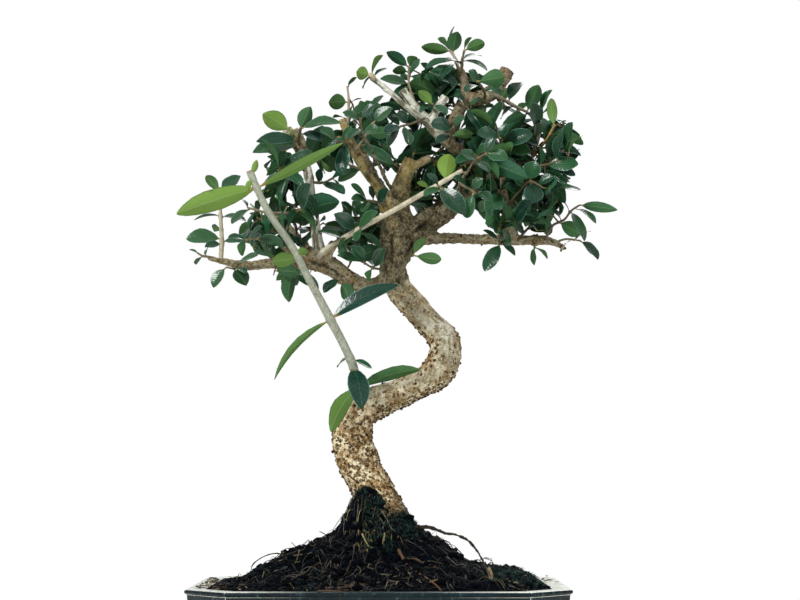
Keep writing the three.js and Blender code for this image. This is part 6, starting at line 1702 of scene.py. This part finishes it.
# Roots that stand clear of the soil or hang over the rim: tone, radius, then x, y, z.
FREE_ROOTS = (
    ("#2a221d", 0.5, (
        (-71, 0, 92), (-75, 0, 93), (-79, 0, 94), (-85, 0, 93), (-91, 0, 90), (-95, 0, 86), (-96, 0, 83),
    )),
    ("#2a221d", 0.4, ((-72, -2, 90), (-76, -2, 91), (-82, -2, 90), (-86, -2, 89), (-89, -2, 86))),
    ("#2a221d", 0.3, ((-91, 0, 90), (-94, 0, 88), (-96, 0, 85))),
    ("#161311", 0.45, ((-64, 0, 93), (-67, 0, 98), (-70, 0, 101))),
    ("#161311", 0.5, ((-44, 0, 102), (-48, 0, 106), (-52, 0, 108))),
    ("#161311", 0.45, ((-46, 0, 101), (-51, 0, 104), (-54, 0, 104))),
    ("#1c1815", 0.4, ((-28, -8, 120), (-31, -8, 124), (-33, -8, 126))),
    ("#161311", 0.6, ((-29, -6, 113), (-31, -6, 119), (-33, -6, 124))),
    ("#161311", 0.5, ((-34, -4, 108), (-37, -4, 112), (-39, -4, 113))),
    ("#2c231c", 0.3, ((51, -38, 90), (48, -38, 92), (45, -38, 90), (43, -38, 88))),
    ("#2c231c", 0.3, ((52, -38, 93), (55, -38, 92), (57, -38, 91), (57, -38, 93))),
    ("#8f7c60", 1.1, ((54, -58, 88), (56, -61, 83), (56, -62, 78))),
    ("#5e4a38", 0.65, ((-49, -86, 75.8), (-44, -87, 76), (-38, -87, 76), (-33, -88, 75.4))),
    ("#4a3a2e", 0.45, ((-36, -84, 77), (-36, -87, 76), (-35, -89, 74), (-35, -89, 71))),
)
# Flakes of bark and root on the rim and at the soil's edge: x, y, spread along x and y, number.
LITTER_BEDS = (
    (-118, -8, 8, 46, 80), (-103, -58, 10, 12, 30), (-42, -82, 14, 4, 14), (74, -66, 9, 8, 18), (94, 30, 8, 30, 22),
    (-20, 78, 50, 5, 24),
)
LITTER_TONES = ("#43301f", "#5f4a36", "#2a211a", "#7f6a4e", "#a89878", "#1d1815")


def add_flake(shell, x, y, z, length, random):
    """A thin torn flake of bark."""
    spin, tip = TURN * random(), 0.35 * (random() - 0.5)
    way = np.array([math.cos(spin), math.sin(spin), tip])
    side = unit(np.cross(UP, way))
    rise = unit(np.cross(way, side))
    wide, thick = length * (0.2 + 0.25 * random()), 0.25 + 0.3 * random()
    outline = [(-0.5, -0.3), (-0.2, -0.5), (0.25, -0.4), (0.5, -0.1), (0.42, 0.3), (0.05, 0.5), (-0.4, 0.35)]
    ring = np.array([
        way * a * length + side * b * wide * (0.7 + 0.6 * random()) for a, b in outline
    ]) + [x, y, z]
    count = len(ring)
    points = np.vstack([ring, ring + rise * thick, [ring.mean(0)], [ring.mean(0) + rise * thick * 1.3]])
    edge = np.arange(count)
    triangles = np.vstack([fan(edge, 2 * count)[:, [1, 0, 2]], fan(edge + count, 2 * count + 1)])
    tone = hex_colour(LITTER_TONES[int(5.99 * random())])
    shell.add(points, ring_quads(2, count), triangles, (*np.array(tone[:3]) * (0.7 + 0.6 * random()), 1))


def strand_piece(name, shell, finishes):
    """A piece of dry plant matter on the soil."""
    piece(name, shell.mesh(name, "strand"), [finishes["strand"]])


def make_soil(sizes, finishes):
    """The soil with its crumbs."""
    body = Shell()
    add_soil_body(body)
    add_crumbs(body, sizes.crumbs, seeded_random(11))
    piece("peat", body.mesh("peat"), [finishes["peat"]], ["soil"])


def make_roots(sizes, finishes):
    """The mat of fine roots, then the listed single roots."""
    mat = Shell()
    random = seeded_random(12)
    add_fibres(mat, sizes.fibres, random)
    strand_piece("fine_roots", mat, finishes)
    single = Shell()
    for tone, radius, lift, route in SURFACE_ROOTS:
        places = [(x, y, ground(x, y) + lift) for x, y in route]
        add_fibre(single, places, radius, hex_colour(tone), random, 7)
    for tone, radius, route in FREE_ROOTS:
        add_fibre(single, route, radius, hex_colour(tone), random, 7)
    strand_piece("single_roots", single, finishes)


def make_moss(sizes, finishes):
    """The tufts of moss, with dry yellowed bits between them."""
    green = Shell()
    random = seeded_random(13)
    for x, y, radius, count, height in MOSS_BEDS:
        for _ in range(round(count * sizes.moss)):
            turn, away = TURN * random(), radius * math.sqrt(random())
            place = (x + away * math.cos(turn), y + away * math.sin(turn))
            if within_wall(*place):
                add_tuft(green, *place, height, random)
    for x, y, spread, count in STRAW_BEDS:
        for _ in range(round(count * sizes.moss)):
            start = np.array([x + spread * (2 * random() - 1), y + spread * (2 * random() - 1)])
            if not within_wall(*start):
                continue
            places = wandering(start, TURN * random(), 3, 1.0 + 1.2 * random(), 2.0, random)
            tone = hex_colour(STRAW_TONES[int(4.99 * random())])
            if len(places) > 1:
                add_fibre(green, [(a, b, c + 1.2) for a, b, c in places], 0.2 + 0.3 * random(), tone, random)
    strand_piece("moss", green, finishes)


def make_litter(finishes):
    """The flakes of bark on the rim and at the soil's edge."""
    flakes = Shell()
    random = seeded_random(14)
    for middle_x, middle_y, spread_x, spread_y, count in LITTER_BEDS:
        for _ in range(count):
            x, y = middle_x + spread_x * (2 * random() - 1), middle_y + spread_y * (2 * random() - 1)
            height = ground(x, y) if within_wall(x, y) else RIM_HEIGHT
            size = 1.4 + 3.2 * random()
            if within_wall(x, y, 1.08):
                add_flake(flakes, x, y, height + 0.3 + 0.8 * random(), size, random)
    strand_piece("litter", flakes, finishes)
# ---------------------------------------------------------------- pot

RIM_HEIGHT = 75.0
FLAT_ANGLE = 0.6  # degrees between faces that count as one
EDGE_ANGLE, SMOOTH_ANGLE = 20, 32  # degrees: edges that are rounded, and edges that are shaded sharp
# The outward edges' pale colour also stands for painted glints.
LIP_SIDE = (72.3, 74.35)  # heights between which the lip's side keeps its full glaze
EDGE_WEAR_AND_GLINT = 0.85  # how thin the glaze is along the outward edges


def rounded_copy(node, width, segments):
    """A copy of a solid with its edges rounded by up to this width, in metres, and how worn each edge is, a share that
    the glaze also uses for painted glints.
    """
    solid = bmesh.new()
    solid.from_mesh(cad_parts[node].data)
    bmesh.ops.remove_doubles(solid, verts=solid.verts, dist=1e-6)
    bmesh.ops.dissolve_limit(solid, angle_limit=math.radians(FLAT_ANGLE), verts=solid.verts, edges=solid.edges)
    sharp = [
        edge for edge in solid.edges
        if len(edge.link_faces) == 2 and edge.calc_face_angle(0) > math.radians(EDGE_ANGLE)
    ]
    outward = np.array([[v.co[:] for v in edge.verts] for edge in sharp if edge.is_convex])
    rounding = set(bmesh.ops.bevel(
        solid, geom=sharp, offset=width, segments=segments, profile=0.5, affect="EDGES", clamp_overlap=True
    )["faces"])
    wear_and_glare = solid.verts.layers.float.new("wear_and_glare")
    turned = [vertex for vertex in solid.verts if all(face in rounding for face in vertex.link_faces)]
    for vertex, share in zip(turned, near_edges(np.array([vertex.co[:] for vertex in turned]), outward, width)):
        vertex[wear_and_glare] = share
    for face in solid.faces:
        face.smooth = face in rounding
    bmesh.ops.triangulate(solid, faces=[face for face in solid.faces if len(face.verts) > 4])
    mesh = bpy.data.meshes.new(node + "_rounded")
    solid.to_mesh(mesh)
    solid.free()
    mesh.set_sharp_from_angle(angle=math.radians(SMOOTH_ANGLE))
    mesh.materials.clear()
    return mesh


def near_edges(points, edges, reach):
    """From 0 to 1, how near each point lies to one of the edges, and 0 beyond their reach."""
    gaps = line_gaps(points, edges[:, 0], edges[:, 1] - edges[:, 0])[1].min(1)
    return np.clip(4 * (1 - gaps / reach), 0, 1)


def make_pot(sizes, finishes):
    """The glazed pot with soft edges, where its glaze is thin and also painted pale as glints, and with painted glare
    on the lip's top.
    """
    mesh = rounded_copy("pot", sizes.glaze_edge, 3)
    for vertex, wear_and_glare in zip(mesh.vertices, mesh.attributes["wear_and_glare"].data):
        height = vertex.co[2] / MM
        on_side = LIP_SIDE[0] < height < LIP_SIDE[1]
        # The lip's whole top is painted pale as glare; the edges are pale as thin glaze and painted glints.
        wear_and_glare.value = 1.0 if height > RIM_HEIGHT - 0.1 else 0.0 if on_side else EDGE_WEAR_AND_GLINT * wear_and_glare.value
    piece("glazed_pot", mesh, [finishes["glaze"]], ["pot"])


def make_screens(sizes, finishes):
    """The two mesh screens over the drain holes."""
    for side in ("left", "right"):
        screen = rounded_copy("drain_screen_" + side, sizes.screen_edge, 2)
        piece("mesh_" + side, screen, [finishes["mesh"]], ["drain_screen_" + side])
# ---------------------------------------------------------------- stage

CAMERA_PLACE = (0.0, -1.1, 0.145)
CAMERA_TILT = 5.86
CAMERA_LENS = 76.14
SKY_LOW, SKY_HIGH = "#98a09f", "#fafdff"
FLOOR_RADIUS, FLOOR_THICKNESS, FLOOR_SIDES = 0.75, 0.01, 96
# Soft lights: name, place, size, watts. Each looks at the tree's middle.
LIGHTS = (
    ("key_light", (-0.9, -1.1, 1.25), 0.6, 24.0),
    ("fill_light", (1.1, -1.0, 0.5), 1.0, 4.5),
    ("back_light", (0.3, 1.2, 1.0), 1.0, 9.0),
)
LIGHT_AIM = Vector((0.0, 0.0, 0.25))


def make_floor(finish):
    """A pale round board with a softened edge, its top at z 0."""
    board = bmesh.new()
    bmesh.ops.create_cone(
        board, cap_ends=True, segments=FLOOR_SIDES, radius1=FLOOR_RADIUS, radius2=FLOOR_RADIUS, depth=FLOOR_THICKNESS
    )
    bmesh.ops.translate(board, verts=board.verts, vec=(0, 0, -FLOOR_THICKNESS / 2))
    rim = [edge for edge in board.edges if edge.calc_face_angle(0) > 1]
    bmesh.ops.bevel(board, geom=rim, offset=FLOOR_THICKNESS / 4, segments=3, profile=0.5, affect="EDGES")
    mesh = bpy.data.meshes.new("floor")
    board.to_mesh(mesh)
    board.free()
    mesh.materials.append(finish)
    floor = new_object("floor", mesh)


def make_sky(sizes):
    """Even studio light: bright above, dimmer below, and a white backdrop behind the tree."""
    world = bpy.data.worlds.new("studio")
    bpy.context.scene.world = world
    world.use_nodes = True
    world.node_tree.nodes.clear()
    add = partial(put, world.node_tree)
    height = add("ShaderNodeSeparateXYZ", add("ShaderNodeTexCoord", out="Generated"), out=2)
    shade = add(BLEND, add(SPAN, height, -0.3, 0.7), hex_colour(SKY_LOW), hex_colour(SKY_HIGH))
    light = add("ShaderNodeBackground", shade, sizes.sky_strength)
    white = add("ShaderNodeBackground", (1, 1, 1, 1), 1.0)
    seen = add("ShaderNodeLightPath", out="Is Camera Ray")
    add("ShaderNodeOutputWorld", add("ShaderNodeMixShader", seen, light, white))


def make_stage(sizes, finishes):
    make_floor(finishes["floor"])
    make_sky(sizes)
    for name, place, size, power in LIGHTS:
        lamp = bpy.data.lights.new(name, "AREA")
        lamp.shape, lamp.size, lamp.energy = "DISK", size, power
        light = new_object(name, lamp)
        light.location = place
        light.rotation_euler = (LIGHT_AIM - Vector(place)).to_track_quat("-Z", "Y").to_euler()
    lens = bpy.data.cameras.new("camera")
    lens.lens, lens.sensor_width, lens.clip_start = CAMERA_LENS, 36, 0.01
    camera = new_object("camera", lens)
    camera.location = CAMERA_PLACE
    camera.rotation_euler = (math.radians(90 + CAMERA_TILT), 0, 0)
    bpy.context.scene.camera = camera
    bpy.context.scene.view_settings.view_transform = "Standard"


# ---------------------------------------------------------------- add-on


def colour_property(name, description, text):
    """A colour that a user can change, with its default from sRGB hex."""
    return bpy.props.FloatVectorProperty(
        name=name, description=description, subtype="COLOR", size=4, min=0, max=1, default=hex_colour(text)
    )


def length_property(name, description, size):
    """A length that a user can change, with its default from millimetres."""
    return bpy.props.FloatProperty(
        name=name, description=description, unit="LENGTH", subtype="DISTANCE", min=1e-5, default=size * MM, precision=5
    )


class BonsaiLook(bpy.types.PropertyGroup):
    """The colours of the bonsai's finishes."""

    leaf_dark: colour_property("Leaf, dark", "Upper face of the darkest leaves", "#0b3028")
    leaf_mid: colour_property("Leaf, green", "Upper face of the greener leaves", "#1f4f31")
    # A new leaf's paler green, painted brighter still to stand for light shining through the leaf.
    leaf_young_backlit: colour_property("Leaf, young", "Upper face of a new leaf", "#6c903c")
    under_dark: colour_property("Underside, dark", "Under face of the darkest leaves", "#20503a")
    under_mid: colour_property("Underside, green", "Under face of the greener leaves", "#436d3b")
    # A new leaf's paler green, painted brighter still to stand for light shining through the leaf.
    under_young_backlit: colour_property("Underside, young", "Under face of a new leaf", "#80a145")
    bark_cream: colour_property("Bark, cream", "Light cork low on the trunk", "#fff0c8")
    bark_tan: colour_property("Bark, tan", "Darker cork low on the trunk", "#b8925d")
    bark_old_dark: colour_property("Old bark, dark", "Pits of the old bark", "#352e1e")
    bark_old_pale: colour_property("Old bark, pale", "Crests of the old bark", "#999074")
    bark_net: colour_property("Old bark, flakes", "Pale edges of the old bark's flakes", "#b5a67c")
    bark_grey: colour_property("Bark, grey", "Smooth bark of the trunk's bend", "#c6c0a8")
    bark_olive: colour_property("Bark, olive", "Tinge of the smooth bark", "#989278")
    bark_shade: colour_property("Bark, shade", "Dirt in the smooth bark", "#6b6348")
    # Also the painted shade in the bark's clefts.
    bark_stain_and_shade: colour_property("Bark, stained", "Bark and roots that the soil has stained", "#1b1512")
    heart_dark: colour_property("Heart, dark", "Dark heart of a cut", "#33201b")
    heart_red: colour_property("Heart, red", "Reddish heart of a cut", "#80594a")
    stub_pale: colour_property("Cut wood, pale", "Bare grey wood of the stubs", "#ebead8")
    stub_shade: colour_property("Cut wood, shade", "Grooves of the stubs", "#827d64")
    bark_gold: colour_property("Golden bark", "The golden limb", "#a18d45")
    wart_dark: colour_property("Wart, dark", "Foot of a cork wart", "#3c2b1c")
    wart_brown: colour_property("Wart, brown", "Crown of a cork wart", "#90703f")
    peat_dark: colour_property("Peat, dark", "Damp soil", "#020509")
    peat_brown: colour_property("Peat, brown", "Drier soil", "#070d15")
    glaze_dark: colour_property("Glaze, dark", "Pools of the glaze", "#081418")
    glaze_mid: colour_property("Glaze, mid", "The glaze's body", "#10262d")
    glaze_light: colour_property("Glaze, light", "Curdled specks of the glaze", "#557274")
    # Also the painted glare on the lip's top and the painted glints along edges.
    glaze_worn_and_glare: colour_property("Glaze, thin", "Where the glaze thins over an edge", "#e6e8db")


class BonsaiSizes(bpy.types.PropertyGroup):
    """The sizes and amounts of the bonsai's finer pieces."""

    leaf_thickness: length_property("Leaf thickness", "Thickness of a leaf's middle", 0.38)
    bark_detail: length_property("Bark detail", "Size of the bark mesh's faces", 0.9)
    wart_spacing: length_property("Wart spacing", "Least distance between cork warts", 1.6)
    wart_size: length_property("Wart size", "Radius of a large cork wart", 1.05)
    glaze_edge: length_property("Glazed edge", "Rounding of the pot's edges", 0.9)
    screen_edge: length_property("Screen edge", "Rounding of the drain screens' edges", 0.2)
    crumbs: bpy.props.IntProperty(name="Crumbs", description="Number of peat crumbs", min=0, default=1500)
    fibres: bpy.props.IntProperty(name="Fine roots", description="Number of fine roots", min=0, default=2400)
    moss: bpy.props.FloatProperty(name="Moss", description="How thick the moss grows", min=0, default=1.0)
    sky_strength: bpy.props.FloatProperty(name="Sky", description="Strength of the even light", min=0, default=0.68)


FINISHES = {}


def given(context):
    """The sizes and the finishes that an operator works with."""
    if not FINISHES:
        FINISHES.update(make_finishes(context.scene.bonsai_look))
    return context.scene.bonsai_sizes, FINISHES


class TrunkOperator(bpy.types.Operator):
    """Make the trunk and its limbs under one bark"""

    bl_idname = "bonsai.trunk"
    bl_label = "Trunk and bark"

    def execute(self, context):
        make_trunk(*given(context))
        return {"FINISHED"}


class WartsOperator(bpy.types.Operator):
    """Make the cork warts that stand out of the bark"""

    bl_idname = "bonsai.warts"
    bl_label = "Cork warts"

    def execute(self, context):
        make_warts(context.scene.bonsai_look, *given(context))
        return {"FINISHED"}


class SpraysOperator(bpy.types.Operator):
    """Make every spray of leaves on its twig"""

    bl_idname = "bonsai.sprays"
    bl_label = "Sprays of leaves"

    def execute(self, context):
        sizes, finishes = given(context)
        for number, name in enumerate(SPRAYS):
            make_spray(name, number, finishes, sizes.leaf_thickness / MM)
        return {"FINISHED"}


class SprigsOperator(bpy.types.Operator):
    """Thicken the crown with small sprigs"""

    bl_idname = "bonsai.sprigs"
    bl_label = "Inner sprigs"

    def execute(self, context):
        sizes, finishes = given(context)
        for number, name in enumerate(THICKETS):
            make_thicket(name, number, finishes, sizes.leaf_thickness / MM)
        return {"FINISHED"}


class SoilOperator(bpy.types.Operator):
    """Make the mound of peat with its crumbs"""

    bl_idname = "bonsai.soil"
    bl_label = "Soil"

    def execute(self, context):
        make_soil(*given(context))
        return {"FINISHED"}


class RootsOperator(bpy.types.Operator):
    """Make the mat of fine roots and the single roots on the soil"""

    bl_idname = "bonsai.roots"
    bl_label = "Roots"

    def execute(self, context):
        make_roots(*given(context))
        return {"FINISHED"}


class MossOperator(bpy.types.Operator):
    """Make the tufts of moss and dry straw"""

    bl_idname = "bonsai.moss"
    bl_label = "Moss"

    def execute(self, context):
        make_moss(*given(context))
        return {"FINISHED"}


class LitterOperator(bpy.types.Operator):
    """Make the flakes of bark on the rim and at the soil's edge"""

    bl_idname = "bonsai.litter"
    bl_label = "Litter"

    def execute(self, context):
        make_litter(given(context)[1])
        return {"FINISHED"}


class PotOperator(bpy.types.Operator):
    """Make the glazed pot"""

    bl_idname = "bonsai.pot"
    bl_label = "Glazed pot"

    def execute(self, context):
        make_pot(*given(context))
        return {"FINISHED"}


class ScreensOperator(bpy.types.Operator):
    """Make the two drain screens"""

    bl_idname = "bonsai.screens"
    bl_label = "Drain screens"

    def execute(self, context):
        make_screens(*given(context))
        return {"FINISHED"}


class StageOperator(bpy.types.Operator):
    """Make the floor, the lights and the camera"""

    bl_idname = "bonsai.stage"
    bl_label = "Floor, lights and camera"

    def execute(self, context):
        make_stage(*given(context))
        return {"FINISHED"}


OPERATORS = (
    TrunkOperator, WartsOperator, SpraysOperator, SprigsOperator, SoilOperator, RootsOperator, MossOperator,
    LitterOperator, PotOperator, ScreensOperator, StageOperator,
)


class BonsaiPanel(bpy.types.Panel):
    """Lists the bonsai's pieces, sizes and colours"""

    bl_idname = "VIEW3D_PT_bonsai"
    bl_label = "Olive bonsai"
    bl_space_type = "VIEW_3D"
    bl_region_type = "UI"
    bl_category = "Bonsai"

    def draw(self, context):
        for operator in OPERATORS:
            self.layout.operator(operator.bl_idname)
        for group in (context.scene.bonsai_sizes, context.scene.bonsai_look):
            for name in group.__annotations__:
                self.layout.prop(group, name)


CLASSES = (BonsaiLook, BonsaiSizes, *OPERATORS, BonsaiPanel)


def register():
    for item in CLASSES:
        bpy.utils.register_class(item)
    bpy.types.Scene.bonsai_look = bpy.props.PointerProperty(type=BonsaiLook)
    bpy.types.Scene.bonsai_sizes = bpy.props.PointerProperty(type=BonsaiSizes)


def unregister():
    del bpy.types.Scene.bonsai_look
    del bpy.types.Scene.bonsai_sizes
    for item in reversed(CLASSES):
        bpy.utils.unregister_class(item)


def main():
    register()
    bpy.ops.bonsai.trunk()
    bpy.ops.bonsai.warts()
    bpy.ops.bonsai.sprays()
    bpy.ops.bonsai.sprigs()
    bpy.ops.bonsai.soil()
    bpy.ops.bonsai.roots()
    bpy.ops.bonsai.moss()
    bpy.ops.bonsai.litter()
    bpy.ops.bonsai.pot()
    bpy.ops.bonsai.screens()
    bpy.ops.bonsai.stage()
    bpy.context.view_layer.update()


if __name__ == "__main__":
    main()
